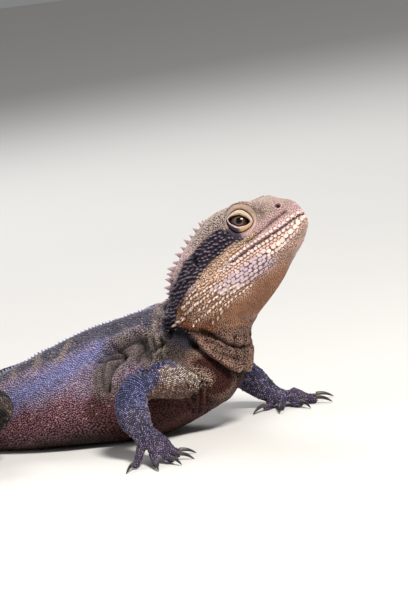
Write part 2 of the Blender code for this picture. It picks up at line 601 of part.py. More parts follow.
def make_head():
    """The head with its lids, mouth line, nostrils, ear cups and the large scales of the jaw."""
    steps = [0, 0.5, 1, 1.5, 2, 2.5, 2.9, 3, 3.1, 3.6, 4.2, 5, 6]
    head = body_piece("head", 0.0, HEAD_CUT, 2.9, steps, True, (0.6, 1.6, 4.2))
    added, removed, eyes = [], [], []
    for side, name in ((1, "left"), (-1, "right")):
        centre = head_point(EYE_BACK, side * EYE_OUT, EYE_RISE)
        turn, lift, tilt = (math.radians(a) for a in (EYE_TURN_FORWARD, EYE_TURN_UP, OPENING_TILT))
        level = math.cos(lift)
        look = head_way(math.sin(turn) * level, side * math.cos(turn) * level, math.sin(lift))
        along = head_way(math.cos(tilt), 0, -math.sin(tilt))
        along = (along - look * along.dot(look)).normalized()
        axes = (along, look.cross(along), look)
        lid = EYE_RADIUS + LID_THICKNESS
        added.append(ball(centre, (lid, lid * 0.96, lid), axes, 14, 9))
        removed.append(ball(centre, (EYE_RADIUS + GAP,) * 3, axes, 16, 10))
        removed.append(ball(centre + look * EYE_RADIUS * 1.15,
                            (OPENING_HALF_WIDTH, OPENING_HALF_HEIGHT, EYE_RADIUS * 0.7), axes, 14, 8))
        eye = ball(centre, (EYE_RADIUS,) * 3, axes, 16, 12)
        eye.name = f"eye_{name}"
        eyes.append(eye)
        nostril = skin_out(NOSTRIL_BACK, NOSTRIL_SHARE, side)[0]
        removed.append(ball(nostril, (NOSTRIL_RADIUS * 1.3, NOSTRIL_RADIUS, NOSTRIL_RADIUS * 1.5),
                            (head_way(1, 0, 0), head_way(0, 0, 1), head_way(0, 1, 0)), 8, 6))
        ear, ear_out = skin_out(EAR_BACK, EAR_SHARE, side)
        ear_along = ear_out.cross(head_way(0, 0, 1)).normalized()
        removed.append(ball(ear, (EAR_RADIUS * 0.8, EAR_RADIUS, EAR_DEPTH),
                            (ear_along, ear_out.cross(ear_along), ear_out), 12, 6))
        added += thorns(side, 0, HEAD_CUT)
    added += crest(CREST_START, HEAD_CUT - 2.0, NUCHAL_SPACING, CREST_HEIGHT, CREST_LEAN)
    combine(head, added, "UNION")
    combine(head, removed, "DIFFERENCE")
    return head, eyes


def main():
    for old in list(bpy.data.objects):
        bpy.data.objects.remove(old)
    skin = material("skin", SKIN_COLOUR, 0.6)
    belly = material("trunk_skin", BELLY_COLOUR, 0.55)
    limb_skin = material("limb_skin", LIMB_COLOUR, 0.5)
    pale = material("pale_skin", PALE_COLOUR, 0.6)
    horn = material("claw_horn", CLAW_COLOUR, 0.35)
    glossy = material("eye", EYE_COLOUR, 0.08)
    nodes = []

    body_steps = [0, 0.4, 1.1, 1.8, 2.5, 3.2, 3.9, 4.6, 5.3, 6]
    head, eyes = make_head()
    finish_node(head, pale)
    for eye in eyes:
        finish_node(eye, glossy)
    neck = body_piece("neck", HEAD_CUT, NECK_CUT, 3.0, body_steps)
    torso = body_piece("torso", NECK_CUT, RUMP_CUT, 6.5, body_steps)
    tail_steps = [0, 1, 2, 3, 4, 5, 6]
    tail = [body_piece(f"tail_{k + 1}", first, last, 10.0, tail_steps)
            for k, (first, last) in enumerate(zip(TAIL_CUTS, TAIL_CUTS[1:]))]
    clear_of = [grown(trunk, GAP * 1.2) for trunk in (neck, torso, tail[0])]

    for side, name, arm, fingers, leg in ((-1, "right", NEAR_ARM, NEAR_FINGERS, NEAR_LEG),
                                          (1, "left", FAR_ARM, FAR_FINGERS, FAR_LEG)):
        arm, leg = outward(arm, side), outward(leg, side)
        pieces = [limb_piece(f"upper_arm_{name}", arm, 0, ELBOW, 4.0),
                  limb_piece(f"forearm_{name}", arm, ELBOW, WRIST, 4.0),
                  limb_piece(f"thigh_{name}", leg, 0, KNEE, 5.0),
                  limb_piece(f"shank_{name}", leg, KNEE, ANKLE, 4.5)]
        for root in (pieces[0], pieces[2]):
            combine(root, [grown(c, 0) for c in clear_of], "DIFFERENCE")
        hand_node, hand_claws = hand(f"hand_{name}", arm, WRIST, fingers, FINGER_RADIUS, side, FINGER_ARCH)
        foot_node, foot_claws = hand(f"foot_{name}", leg, ANKLE, TOES, TOE_RADIUS, side, TOE_ARCH)
        for piece in pieces + [hand_node, foot_node]:
            finish_node(piece, limb_skin)
        for claw in hand_claws + foot_claws:
            finish_node(claw, horn)
        nodes += pieces + [hand_node, foot_node] + hand_claws + foot_claws
    for copy in clear_of:
        bpy.data.objects.remove(copy)

    neck_forms = crest(HEAD_CUT + 1.5, NECK_CUT - 1.6, NUCHAL_SPACING, CREST_HEIGHT, CREST_LEAN)
    for side in (1, -1):
        neck_forms += thorns(side, HEAD_CUT, NECK_CUT)
    combine(neck, neck_forms, "UNION")
    finish_node(neck, skin)
    combine(torso, crest(NECK_CUT + 1.8, RUMP_CUT - 1.8, DORSAL_SPACING, CREST_HEIGHT, CREST_LEAN), "UNION")
    finish_node(torso, belly)
    nodes += [head, neck, torso] + eyes

    for length, first, last in zip(tail, TAIL_CUTS, TAIL_CUTS[1:]):
        teeth = crest(first + 2.5, min(last - 2.5, CREST_END), TAIL_SPACING, CREST_HEIGHT, TAIL_CREST_LEAN)
        if teeth:
            combine(length, teeth, "UNION")
        finish_node(length, skin)
        nodes.append(length)

    low = Vector([min(v.co[k] for n in nodes for v in n.data.vertices) for k in range(3)])
    high = Vector([max(v.co[k] for n in nodes for v in n.data.vertices) for k in range(3)])
    animal = bpy.data.objects.new("water_dragon", None)
    bpy.context.scene.collection.objects.link(animal)
    animal.location = (-(low.x + high.x) / 2, -(low.y + high.y) / 2, -low.z)
    kept = bpy.data.collections.new("eastern_water_dragon")
    bpy.context.scene.collection.children.link(kept)
    for part in nodes + [animal]:
        bpy.context.scene.collection.objects.unlink(part)
        kept.objects.link(part)
    for node in nodes:
        node.parent = animal


main()
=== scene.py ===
import json
import math

import bmesh
import bpy
import numpy as np
from mathutils import Matrix, Vector
from mathutils.bvhtree import BVHTree
from mathutils.kdtree import KDTree

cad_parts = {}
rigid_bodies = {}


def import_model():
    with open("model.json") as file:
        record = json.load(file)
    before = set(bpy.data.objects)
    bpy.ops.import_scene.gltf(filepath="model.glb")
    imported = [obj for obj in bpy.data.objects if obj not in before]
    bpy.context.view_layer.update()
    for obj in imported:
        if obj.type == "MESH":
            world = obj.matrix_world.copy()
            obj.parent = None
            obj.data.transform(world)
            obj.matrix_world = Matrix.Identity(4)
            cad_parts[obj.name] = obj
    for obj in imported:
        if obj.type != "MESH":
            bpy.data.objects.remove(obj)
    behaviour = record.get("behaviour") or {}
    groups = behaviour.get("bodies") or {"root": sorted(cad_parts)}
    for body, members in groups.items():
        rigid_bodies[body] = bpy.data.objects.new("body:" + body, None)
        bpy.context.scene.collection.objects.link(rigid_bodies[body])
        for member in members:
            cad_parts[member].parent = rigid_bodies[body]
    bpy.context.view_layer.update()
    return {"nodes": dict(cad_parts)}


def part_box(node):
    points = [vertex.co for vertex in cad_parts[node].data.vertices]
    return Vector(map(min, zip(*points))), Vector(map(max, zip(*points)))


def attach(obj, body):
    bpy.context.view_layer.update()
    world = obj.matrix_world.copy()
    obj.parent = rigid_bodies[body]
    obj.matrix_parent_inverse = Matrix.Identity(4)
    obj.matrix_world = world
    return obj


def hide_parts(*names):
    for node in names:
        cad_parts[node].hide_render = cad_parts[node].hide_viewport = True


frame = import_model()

bpy.ops.object.select_all(action="DESELECT")
chance = np.random.default_rng(20)
print("frame loaded:", len(frame["nodes"]), "solids")

# The animal's own lines, in millimetres, before they are moved to where the solids lie. The body's line
# has x, y, z and the distance from the snout, the tail's bend has distances and headings in degrees, and
# the girth has distances and half thicknesses.
pose = {
    "snout": (63.76, -7.73, 103.5),
    "headPitch": 27.0, "headYaw": -8.0, "headRoll": 3.0,
    "bodyLine": [(18.7, -1.4, 80.35, 52), (12.2, -0.6, 75.7, 60), (7, -0.1, 69, 68), (3, 0, 60, 77),
                 (0.7, 0, 48.5, 88.7), (-9, 0, 43, 99.8), (-23, 0, 36.5, 115.3), (-45.5, 0, 29.8, 138.8),
                 (-80, 0, 24.4, 173.7), (-114, 0, 18.6, 208.2), (-138.5, 0, 15.8, 232.9),
                 (-160, 0, 14, 254.5)],
    "tailTip": 735,
    "tailBend": [(254, 0), (320, 13), (420, 6), (540, -26), (735, -62)],
    "girth": [(0, 4), (6, 10), (20, 17), (40, 22), (60, 24), (77, 22), (100, 27), (139, 32), (174, 30),
              (208, 24), (233, 17), (254, 14), (285, 10.4), (330, 7.5), (400, 5.3), (500, 3.5), (620, 2.1),
              (735, 0.75)],
    "eyeBack": 25.6, "eyeRise": 14.7,
}
# Each limb from the trunk to the palm or sole: x, y outwards, z and half thickness
limbLines = {
    "arm_right": [(-5, 5, 28, 9), (-8.5, 18, 30, 9.7), (-13, 29, 32.5, 9.6), (-17, 38.5, 34, 8.8),
                  (-21.5, 46.5, 33, 8), (-23.5, 52.5, 27.5, 7.9), (-21, 57, 20.5, 8.3), (-18, 60.5, 17, 7.2),
                  (-14.6, 63, 13.8, 5.8), (-12.2, 65, 12.2, 5.8), (-9.8, 67.2, 10.4, 5.8)],
    "arm_left": [(-5, 5, 28, 9), (-8, 17, 28.5, 9.7), (-12, 28, 29, 9.6), (-15, 38, 28.5, 8.8),
                 (-16, 46, 25.5, 8), (-12.5, 51, 20.5, 7.9), (-6, 52, 15.5, 8.1), (0, 51.5, 10.2, 7),
                 (5, 51, 6.6, 5.7), (8, 51, 5.4, 5.7), (11, 51, 4.4, 5.7)],
    "leg_right": [(-140, 4, 20, 12.5), (-136, 16, 21, 13), (-124, 29, 24.5, 12), (-108, 42, 29, 10),
                  (-97.5, 50.5, 29, 8.1), (-99, 58, 24, 7.6), (-109, 62.5, 19, 7.8), (-121, 67, 13.5, 6.2),
                  (-130, 72, 9.2, 4.7), (-133, 79, 6.4, 4.5), (-128.5, 85, 5, 4.8), (-120.5, 89, 4, 5)],
    "leg_left": [(-140, 4, 20, 12.5), (-138, 16, 21, 13), (-129, 30, 24, 12), (-116, 44, 27.5, 10),
                 (-107, 53, 27.5, 8.1), (-109, 60.5, 23, 7.6), (-119, 65, 18, 7.8), (-131, 69.5, 13, 6.2),
                 (-140, 74.5, 9.2, 4.7), (-143, 81.5, 6.4, 4.5), (-138.5, 87.5, 5, 4.8),
                 (-130.5, 91.5, 4, 5)],
}
sideOf = {"right": -1, "left": 1}
endOf = {"arm": "hand", "leg": "foot"}
# Where the head, the neck and the trunk end along the trunk's line, in mm from the snout
headEnd, neckEnd, trunkEnd = 64, 112, 256
atOnce = 8000  # points measured at once, so that the tables of distances stay small


def keyed(keys, x):
    return np.interp(x, [k[0] for k in keys], [k[1] for k in keys])


def eased(low, high, x):
    t = np.clip((x - low) / (high - low), 0, 1)
    return t * t * (3 - 2 * t)


def unit(v):
    return v / np.maximum(np.linalg.norm(v, axis=-1, keepdims=True), 1e-9)


def meshRows(items, name, width=3, kind=float):
    rows = np.empty(len(items) * width, kind)
    items.foreach_get(name, rows)
    return rows.reshape(-1, width)


def meshPoints(mesh):
    return meshRows(mesh.vertices, "co") * 1000


def solidPoints(node):
    return meshPoints(frame["nodes"][node].data)


# The eyes say where the head's own axes lie in the frame
headTurn = np.array(Matrix.Rotation(math.radians(pose["headYaw"]), 3, "Z")
                    @ Matrix.Rotation(-math.radians(pose["headPitch"]), 3, "Y")
                    @ Matrix.Rotation(-math.radians(pose["headRoll"]), 3, "X"))
headFore, headLeft, headUp = headTurn.T
eyeMiddles = {side: np.array(sum(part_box(f"eye_{side}"), Vector())) * 500 for side in sideOf}
snout = (eyeMiddles["left"] + eyeMiddles["right"]) / 2 + headFore * pose["eyeBack"] - headUp * pose["eyeRise"]
origin = snout - np.array(pose["snout"])


def headPlace(back, out, rise):
    return snout - headFore * back + headLeft * out + headUp * rise


def headCoords(points):
    d = points - snout
    return -d @ headFore, d @ headLeft, d @ headUp


def evenLine(points, step, smooth):
    gaps = np.linalg.norm(np.diff(points[:, :3], axis=0), axis=1)
    at = np.concatenate([[0], np.cumsum(gaps)])
    where = np.linspace(0, at[-1], int(at[-1] / step) + 2)
    line = np.stack([np.interp(where, at, points[:, k]) for k in range(points.shape[1])], axis=1)
    for _ in range(smooth):
        line[1:-1] = (line[:-2] + 2 * line[1:-1] + line[2:]) / 4
    return line


class Line:
    def __init__(self, name, points, girth, along, firstUp):
        self.name, self.points, self.girth, self.along = name, points, girth, along
        self.back = unit(np.gradient(points, axis=0))
        self.up = np.empty_like(points)
        up = np.array(firstUp, float)
        for k, way in enumerate(self.back):  # carried along the line without twist
            up = up - way * (up @ way)
            up /= np.linalg.norm(up)
            self.up[k] = up
        self.left = np.cross(self.up, -self.back)

    def at(self, values, s):
        return np.array([np.interp(s, self.along, values[:, k]) for k in range(3)])


def trunkLine():
    rows = [(*headPlace(back, 0, 0), back) for back in range(0, 52, 4)]
    rows += [(*(origin + np.array(p[:3])), p[3]) for p in pose["bodyLine"]]
    x, y, z, s = rows[-1]
    step = 5
    while s < pose["tailTip"]:
        bend = math.radians(float(keyed(pose["tailBend"], s + step / 2)))
        x, y, s = x - math.cos(bend) * step, y + math.sin(bend) * step, s + step
        z = origin[2] + float(keyed(pose["girth"], s))
        rows.append((x, y, z, s))
    even = evenLine(np.array(rows), 2.0, 3)
    return Line("trunk", even[:, :3], keyed(pose["girth"], even[:, 3]), even[:, 3], headUp)


def limbAndDigits(name, stations):
    limb, side = name.split("_")
    rows = np.array([(x, sideOf[side] * y, z, half) for x, y, z, half in stations], float)
    rows[:, :3] += origin
    even = evenLine(rows, 2.0, 2)
    found = [Line(name, even[:, :3], even[:, 3], np.arange(len(even)) * 2.0, (0, 0, 1))]
    palm, kind, arch = even[-1, :3], endOf[limb], np.array((0, 0, 1.5))
    for k in range(1, 6):
        claw = solidPoints(f"claw_{kind}_{side}_{k}")
        far = np.linalg.norm(claw - palm, axis=1)
        root = claw[far < far.min() + 1.0].mean(axis=0)
        knuckles = palm * 0.72 + root * 0.28 + arch
        middle = palm * 0.35 + root * 0.65 + arch * 0.5
        rows = np.array([palm, knuckles, middle, root])
        even = evenLine(rows, 1.0, 2)
        found.append(Line(f"{kind}_{side}_{k}", even, np.linspace(2.9, 2.0, len(even)),
                          np.arange(len(even)) * 1.0, (0, 0, 1)))
    return found


spine = trunkLine()
lines = [spine] + [line for name, stations in limbLines.items() for line in limbAndDigits(name, stations)]
linePoints, lineGirth, lineBack, lineUp, lineLeft, lineAlong = (
    np.concatenate([getattr(line, name) for line in lines])
    for name in ("points", "girth", "back", "up", "left", "along"))
linePart = np.concatenate([np.full(len(line.points), k) for k, line in enumerate(lines)])
lineNames = np.array([line.name for line in lines])
print("lines laid:", len(lines))


class Place:
    # where points lie on the animal: part, distance along it, angle round it, lie of the scales
    def __init__(self, points):
        nearest = np.empty(len(points), int)
        lineSquare = (linePoints ** 2).sum(1)
        for k in range(0, len(points), atOnce):
            p = points[k:k + atOnce]
            gap = (p ** 2).sum(1)[:, None] + lineSquare[None] - 2 * p @ linePoints.T
            nearest[k:k + atOnce] = (gap / lineGirth[None] ** 2).argmin(1)
        v = points - linePoints[nearest]
        self.nearest = nearest
        self.part = linePart[nearest]
        self.back = lineBack[nearest]
        self.along = lineAlong[nearest] + np.clip((v * self.back).sum(1), -2, 2)
        self.rise = (v * lineUp[nearest]).sum(1)
        self.out = (v * lineLeft[nearest]).sum(1)
        self.angle = np.degrees(np.arctan2(self.out, self.rise))
        self.steep = np.abs(self.angle)
        self.trunk = self.part == 0

    def named(self, *starts):
        chosen = [np.char.startswith(lineNames, start) for start in starts]
        return np.any(chosen, axis=0)[self.part]


def mirroredPoints(points):
    place = Place(points)
    return points - 2 * lineLeft[place.nearest] * place.out[:, None]


def noiseAt(points, size, seed):
    p = points / size + seed * 7.13
    cell = np.floor(p).astype(np.int64)
    f = p - cell
    f = f * f * (3 - 2 * f)
    total = np.zeros(len(points))
    for corner in range(8):
        step = np.array([corner & 1, corner >> 1 & 1, corner >> 2 & 1])
        c = cell + step
        mixed = (c[:, 0] * 73856093) ^ (c[:, 1] * 19349663) ^ (c[:, 2] * 83492791) ^ (seed * 2654435761)
        mixed = (mixed ^ (mixed >> 13)) * 1274126177
        value = ((mixed ^ (mixed >> 16)) & 0xffff) / 65535
        total += value * np.prod(np.where(step, f, 1 - f), axis=1)
    return total


# The camera stands as the photograph's did, and its pixels are used to place folds and markings
cameraValues = {
    "azimuth": 25, "elevation": 8, "roll": 9,
    "across": -10.6, "up": 61.35, "away": 1800,
    "lens": 211.76, "sensor": 36,
    "frameWide": 408, "frameHigh": 612,
}


def cameraAxes():
    t, e, r = (math.radians(cameraValues[k]) for k in ("azimuth", "elevation", "roll"))
    right = np.array((math.cos(t), math.sin(t), 0))
    up = np.array((-math.sin(t) * math.sin(e), math.cos(t) * math.sin(e), math.cos(e)))
    back = np.array((math.sin(t) * math.cos(e), -math.cos(t) * math.cos(e), math.sin(e)))
    return right * math.cos(r) - up * math.sin(r), right * math.sin(r) + up * math.cos(r), back


cameraRight, cameraUp, cameraBack = cameraAxes()
cameraPlace = (origin + cameraRight * cameraValues["across"] + cameraUp * cameraValues["up"]
               + cameraBack * cameraValues["away"])
bpy.ops.object.camera_add(location=cameraPlace * 0.001)
camera = bpy.context.object
camera.name = "photoCamera"
camera.matrix_world = Matrix([(*row, place) for row, place in zip(
    np.array([cameraRight, cameraUp, cameraBack]).T, cameraPlace * 0.001)] + [(0, 0, 0, 1)])
camera.data.lens = cameraValues["lens"]
camera.data.sensor_width = cameraValues["sensor"]
bpy.context.scene.camera = camera


def pixelRay(x, y):
    step = cameraValues["sensor"] / cameraValues["frameHigh"] / cameraValues["lens"]
    way = (-cameraBack + cameraRight * (x - cameraValues["frameWide"] / 2) * step
           - cameraUp * (y - cameraValues["frameHigh"] / 2) * step)
    return way / np.linalg.norm(way)


print("camera set")

# One skin over every fleshy solid: joined, remeshed, melted together, then pressed and folded
skinValues = {
    "voxel": 0.00137,
    "grown": 0.0002,
    "coatDepth": 0.00042,
    "fineEnds": 110, "smoothEnds": 114,  # the head and neck get smaller faces, and are smoothed again
    "thinFrom": 420, "smoothThin": 0.1,  # the tail's end and the digits are smoothed less
    "ridge": (42, 560),
    "digitsSunk": 0.05, "waves": 0.5,
    "smoothAll": 4, "smoothRidge": 30,
}
fleshNodes = (["head", "neck", "torso"] + [f"tail_{k}" for k in range(1, 6)]
              + [f"{part}_{side}" for part in ("upper_arm", "forearm", "hand", "thigh", "shank", "foot")
                 for side in sideOf])


def useModifier(piece, kind, **values):
    bpy.context.view_layer.objects.active = piece
    modifier = piece.modifiers.new(kind.lower(), kind)
    for name, value in values.items():
        setattr(modifier, name, value)
    bpy.ops.object.modifier_apply(modifier=modifier.name)


def onlySelect(*pieces):
    bpy.ops.object.select_all(action="DESELECT")
    for piece in pieces:
        piece.select_set(True)
    bpy.context.view_layer.objects.active = pieces[0]


def meshNormals(mesh):
    return meshRows(mesh.vertices, "normal")


def setPoints(mesh, points):
    mesh.vertices.foreach_set("co", (points / 1000).ravel())
    mesh.update()


def weightGroup(piece, name, weights):
    group = piece.vertex_groups.new(name=name)
    for level in np.unique(np.round(weights, 1)):
        chosen = np.nonzero(np.round(weights, 1) == level)[0]
        group.add(chosen.tolist(), float(level), "REPLACE")


def inEditMode(piece, *steps):
    onlySelect(piece)
    bpy.ops.object.mode_set(mode="EDIT")
    for step, values in steps:
        step(**values)
    bpy.ops.object.mode_set(mode="OBJECT")


def joinedCopy():
    onlySelect(*[frame["nodes"][n] for n in fleshNodes + ["eye_left", "eye_right"]])
    bpy.ops.object.duplicate()
    copies = list(bpy.context.selected_objects)
    bpy.context.view_layer.objects.active = copies[0]
    bpy.ops.object.parent_clear(type="CLEAR_KEEP_TRANSFORM")
    bpy.ops.object.join()
    skin = bpy.context.object
    skin.name = skin.data.name = "dragonSkin"
    for key in list(skin.keys()):
        del skin[key]
    skin.data.materials.clear()
    inEditMode(skin, (bpy.ops.mesh.select_all, {"action": "SELECT"}),
               (bpy.ops.mesh.remove_doubles, {"threshold": 0.00001}))
    return skin


skin = joinedCopy()
useModifier(skin, "DISPLACE", strength=skinValues["grown"], mid_level=0)
useModifier(skin, "REMESH", mode="VOXEL", voxel_size=skinValues["voxel"])
place = Place(meshPoints(skin.data))
thin = place.named("hand", "foot") | place.trunk & (place.along > skinValues["thinFrom"])
weightGroup(skin, "all", np.where(thin, skinValues["smoothThin"], 1.0))
ridge = place.trunk & (place.along > skinValues["ridge"][0]) & (place.along < skinValues["ridge"][1])
weightGroup(skin, "ridge", ridge * (1 - eased(8, 20, place.steep)))
useModifier(skin, "SMOOTH", factor=0.5, iterations=skinValues["smoothAll"], vertex_group="all")
useModifier(skin, "SMOOTH", factor=0.5, iterations=skinValues["smoothRidge"], vertex_group="ridge")
skin.vertex_groups.clear()
print("skin joined:", len(skin.data.polygons), "faces")


def keepLargest(piece):
    bm = bmesh.new()
    bm.from_mesh(piece.data)
    left, best = set(bm.verts), set()
    while left:
        stack = [next(iter(left))]
        left.discard(stack[0])
        island = set(stack)
        while stack:
            for edge in stack.pop().link_edges:
                for v in edge.verts:
                    if v in left:
                        left.discard(v)
                        island.add(v)
                        stack.append(v)
        best = island if len(island) > len(best) else best
    bmesh.ops.delete(bm, geom=[v for v in bm.verts if v not in best], context="VERTS")
    bm.to_mesh(piece.data)
    bm.free()


def refineHead():
    where = Place(meshRows(skin.data.polygons, "center") * 1000)
    bpy.context.tool_settings.mesh_select_mode = (False, False, True)
    inEditMode(skin, (bpy.ops.mesh.select_all, {"action": "DESELECT"}))
    skin.data.polygons.foreach_set("select", where.trunk & (where.along < skinValues["fineEnds"]))
    inEditMode(skin, (bpy.ops.mesh.subdivide, {"number_cuts": 1, "smoothness": 0}))


keepLargest(skin)
refineHead()
place = Place(meshPoints(skin.data))
weightGroup(skin, "head", np.where(place.trunk & (place.along < skinValues["smoothEnds"]), 1.0, 0.0))
useModifier(skin, "SMOOTH", factor=0.5, iterations=4, vertex_group="head")
skin.vertex_groups.clear()


def surfaceTree(mesh):
    return BVHTree.FromPolygons([v.co[:] for v in mesh.vertices], [p.vertices[:] for p in mesh.polygons])


def pointTree(points):
    tree = KDTree(len(points))
    for k, p in enumerate(points):
        tree.insert(p, k)
    tree.balance()
    return tree


def rayHit(tree, start, way, reach=1.0):
    # place and outward normal where a ray meets a surface, all in mm, or None
    place, normal = tree.ray_cast(Vector(start / 1000), Vector(way), reach)[:2]
    return None if place is None else (np.array(place) * 1000, np.array(normal))


skinTree = surfaceTree(skin.data)


def seenAt(pixels):
    hits = [rayHit(skinTree, cameraPlace, pixelRay(x, y), 9.0) for x, y in pixels]
    return np.array([hit[0] for hit in hits if hit])


def strokeOf(pixels):
    line = evenLine(seenAt(pixels), 0.8, 1)
    return np.concatenate([line, mirroredPoints(line)])


def gapTo(points, line, most):
    gap = np.full(len(points), 999.0)
    near = np.all((points > line.min(0) - most) & (points < line.max(0) + most), axis=1)
    chosen = np.nonzero(near)[0]
    for k in range(0, len(chosen), atOnce):
        part = chosen[k:k + atOnce]
        square = ((points[part, None] - line[None]) ** 2).sum(2)
        gap[part] = np.sqrt(square.min(1))
    return gap


# Folds of the hide: pixels of the photograph, half width and depth in mm, raised where it is negative
folds = [
    # the nape's grooves and the pleats over the shoulder
    ([(164.8, 304), (165.7, 330), (167.9, 336)], 1.5, 3.0),
    ([(161.6, 303), (163.4, 312)], 1.0, 1.8),
    ([(155, 306), (157.5, 318), (157, 330)], 1.2, 1.8),
    ([(137, 340.7), (141, 346), (144.3, 356), (147, 368)], 1.7, 3.6),
    ([(144, 337), (147, 348), (149, 360)], 1.2, 2.8),
    ([(151, 338), (153, 350), (152, 364)], 1.1, 2.3),
    ([(159, 340), (160, 352), (158, 366)], 1.2, 2.5),
    ([(96, 360.4), (108, 357), (119.3, 356), (124.6, 358.6)], 1.6, 3.2),
    ([(137, 331), (123, 337), (106.8, 344.3)], 2.9, -2.6),
    ([(137, 338), (129, 342), (118, 348), (104, 353)], 1.7, 3.0),
    ([(127, 360.4), (118.4, 369.3), (114, 381)], 2.0, -2.6),
    ([(122, 361), (113, 369), (108, 381), (107, 392)], 1.6, 3.4),
    ([(103, 363), (100, 378), (103, 392)], 1.3, 2.1),
    ([(96, 366), (94, 380), (96, 392)], 1.2, 1.4),
    # the throat's bag
    ([(168, 328), (174, 332), (181, 335), (188.4, 340.4), (194, 346)], 2.5, 3.6),
    ([(194, 346), (201, 352), (209, 358), (218, 364.5), (227, 372), (237.5, 375)], 1.8, 3.6),
    ([(192, 338), (200, 346), (209, 352.5), (218, 358.5), (228, 366), (238, 369)], 2.2, -2.6),
    ([(200, 331.4), (212.5, 336), (227, 344), (239.3, 347.5), (251, 346.6)], 1.3, 3.4),
    ([(205.4, 342), (218, 346), (228, 350)], 1.1, 2.1),
    ([(214, 352), (228, 357), (240, 361)], 1.2, 1.8),
    ([(236, 338), (238, 352), (236, 366)], 1.3, 1.8),
    ([(246, 336), (247, 350), (245, 362)], 1.3, 1.6),
    ([(184, 330), (196, 333.5), (206, 336), (216, 340)], 1.3, 2.5),
    # the armpit
    ([(189, 386), (187, 398), (189, 410)], 1.0, 1.8),
    ([(195, 385), (194, 398), (194, 412)], 1.0, 1.8),
    ([(201, 385), (201, 398), (200, 413)], 1.0, 1.8),
    ([(207, 384), (208, 398), (207, 412)], 1.0, 1.6),
    # the snout, the lip and the jowl
    ([(285.5, 211.3), (272, 221), (262, 230), (252, 238), (245, 243)], 0.8, 1.4),
    ([(250, 208.5), (256, 210.5), (262, 213)], 2.2, 0.9),
    ([(275, 247.5), (264.8, 252.5), (254, 257.5), (240, 264)], 0.6, 0.6),
    ([(224, 248), (231, 243), (238, 240)], 0.6, 0.4),
    # smaller pleats between those of the shoulder
    ([(141.5, 338), (139, 350), (136, 361), (133, 371)], 1.5, 3.0),
    ([(151, 352), (156, 347), (163, 343)], 1.2, 1.8),
    ([(128, 349), (121, 352), (125, 357)], 1.2, 1.6),
    ([(152, 366), (158, 356), (166, 350)], 1.3, -1.4),
    ([(112, 346), (118, 351), (124, 357)], 1.2, 2.4),
]
headValues = {
    "lip": [(0, 1.6), (3, 1.2), (8, 0.4), (14, 0), (30, -0.2), (38, -0.8), (60, -1.2)],
    "mouthEnds": 38.5, "mouthWidth": 0.42, "mouthDepth": 0.8,
    "lipRidges": [(-1.3, 0.8, 0.45), (1.4, 0.9, 0.35)],  # mm above the mouth's line, half width, height
    "holeRim": 0.35,
    "nostril": (6.6, 6.2, 10.8), "nostrilRadius": 1.2, "nostrilDepth": 1.7, "nostrilFaces": (0.2, 0.8, 0.55),
    "ear": (55.1, 20.5, 9.7), "earRadius": 2.2, "earDepth": 1.3, "earFaces": (0, 1, 0),
    "eyeRadius": 6.2,
    "lookForward": 26, "lookUp": 3, "eyeShift": 2.1, "eyeDrop": 0.4,
}
eyeCentres = {side: eyeMiddles[side] - headFore * headValues["eyeShift"] - headUp * headValues["eyeDrop"]
              for side in sideOf}


def eyeAxes(side):
    sign = sideOf[side]
    a, e = math.radians(headValues["lookForward"]), math.radians(headValues["lookUp"])
    level = headLeft * sign * math.cos(a) * math.cos(e) + headFore * math.sin(a) * math.cos(e)
    look = level + headUp * math.sin(e)
    fore = unit(headFore - look * (headFore @ look))
    return look, fore, np.cross(look, fore) * -sign  # out of the eye, to the snout, upwards


# The lids' opening and their outer edge, in mm from the eye's look, and their tilt to the mouth's line
lidValues = {
    "opening": {"fore": 5.6, "rear": 5.8, "above": 2.7, "below": 2.9},
    "edge": {"fore": 9.4, "rear": 8.0, "above": 9.0, "below": 9.2},
    "tilt": 36, "pinched": 0.10,
}
# Distance outwards as a share of the lid's width, height over the eyeball in mm, and the marking there
lidRings = [(0.0, 0.08, "crease"), (0.012, 0.30, "crease"), (0.045, 0.75, "rim"), (0.10, 0.92, "rim"),
            (0.16, 0.98, "band"), (0.25, 1.12, "band"), (0.33, 1.12, "band"), (0.40, 0.85, "band"),
            (0.44, 0.20, "crease"), (0.48, 0.18, "crease"), (0.53, 0.72, "outer"), (0.61, 0.95, "outer"),
            (0.70, 0.98, "outer"), (0.79, 0.85, "outer"), (0.88, 0.45, "outer"), (1.0, -0.7, "outer")]


def lidFrame(side):
    look, fore, up = eyeAxes(side)
    tilt = math.radians(lidValues["tilt"])
    return look, fore * math.cos(tilt) - up * math.sin(tilt), fore * math.sin(tilt) + up * math.cos(tilt)


def ovalReach(turn, oval):
    x, y = np.cos(turn), np.sin(turn)
    wide = np.where(x > 0, oval["fore"], oval["rear"])
    high = np.where(y > 0, oval["above"], oval["below"])
    return 1 / np.sqrt((x / wide) ** 2 + (y / high) ** 2)


def lidReach(turn, share):
    opening = ovalReach(turn, lidValues["opening"]) * (1 - lidValues["pinched"] * np.abs(np.sin(2 * turn)))
    return opening + (ovalReach(turn, lidValues["edge"]) - opening) * share


def lidShare(points, side):
    # how far out each point lies between the lids' opening and their edge
    look, across, upright = lidFrame(side)
    d = points - eyeCentres[side]
    turn = np.arctan2(d @ upright, d @ across)
    inner, outer = lidReach(turn, 0), lidReach(turn, 1)
    share = (np.hypot(d @ across, d @ upright) - inner) / (outer - inner)
    return np.where((d @ look > -3) & (np.linalg.norm(d, axis=1) < 16), share, 9.0)


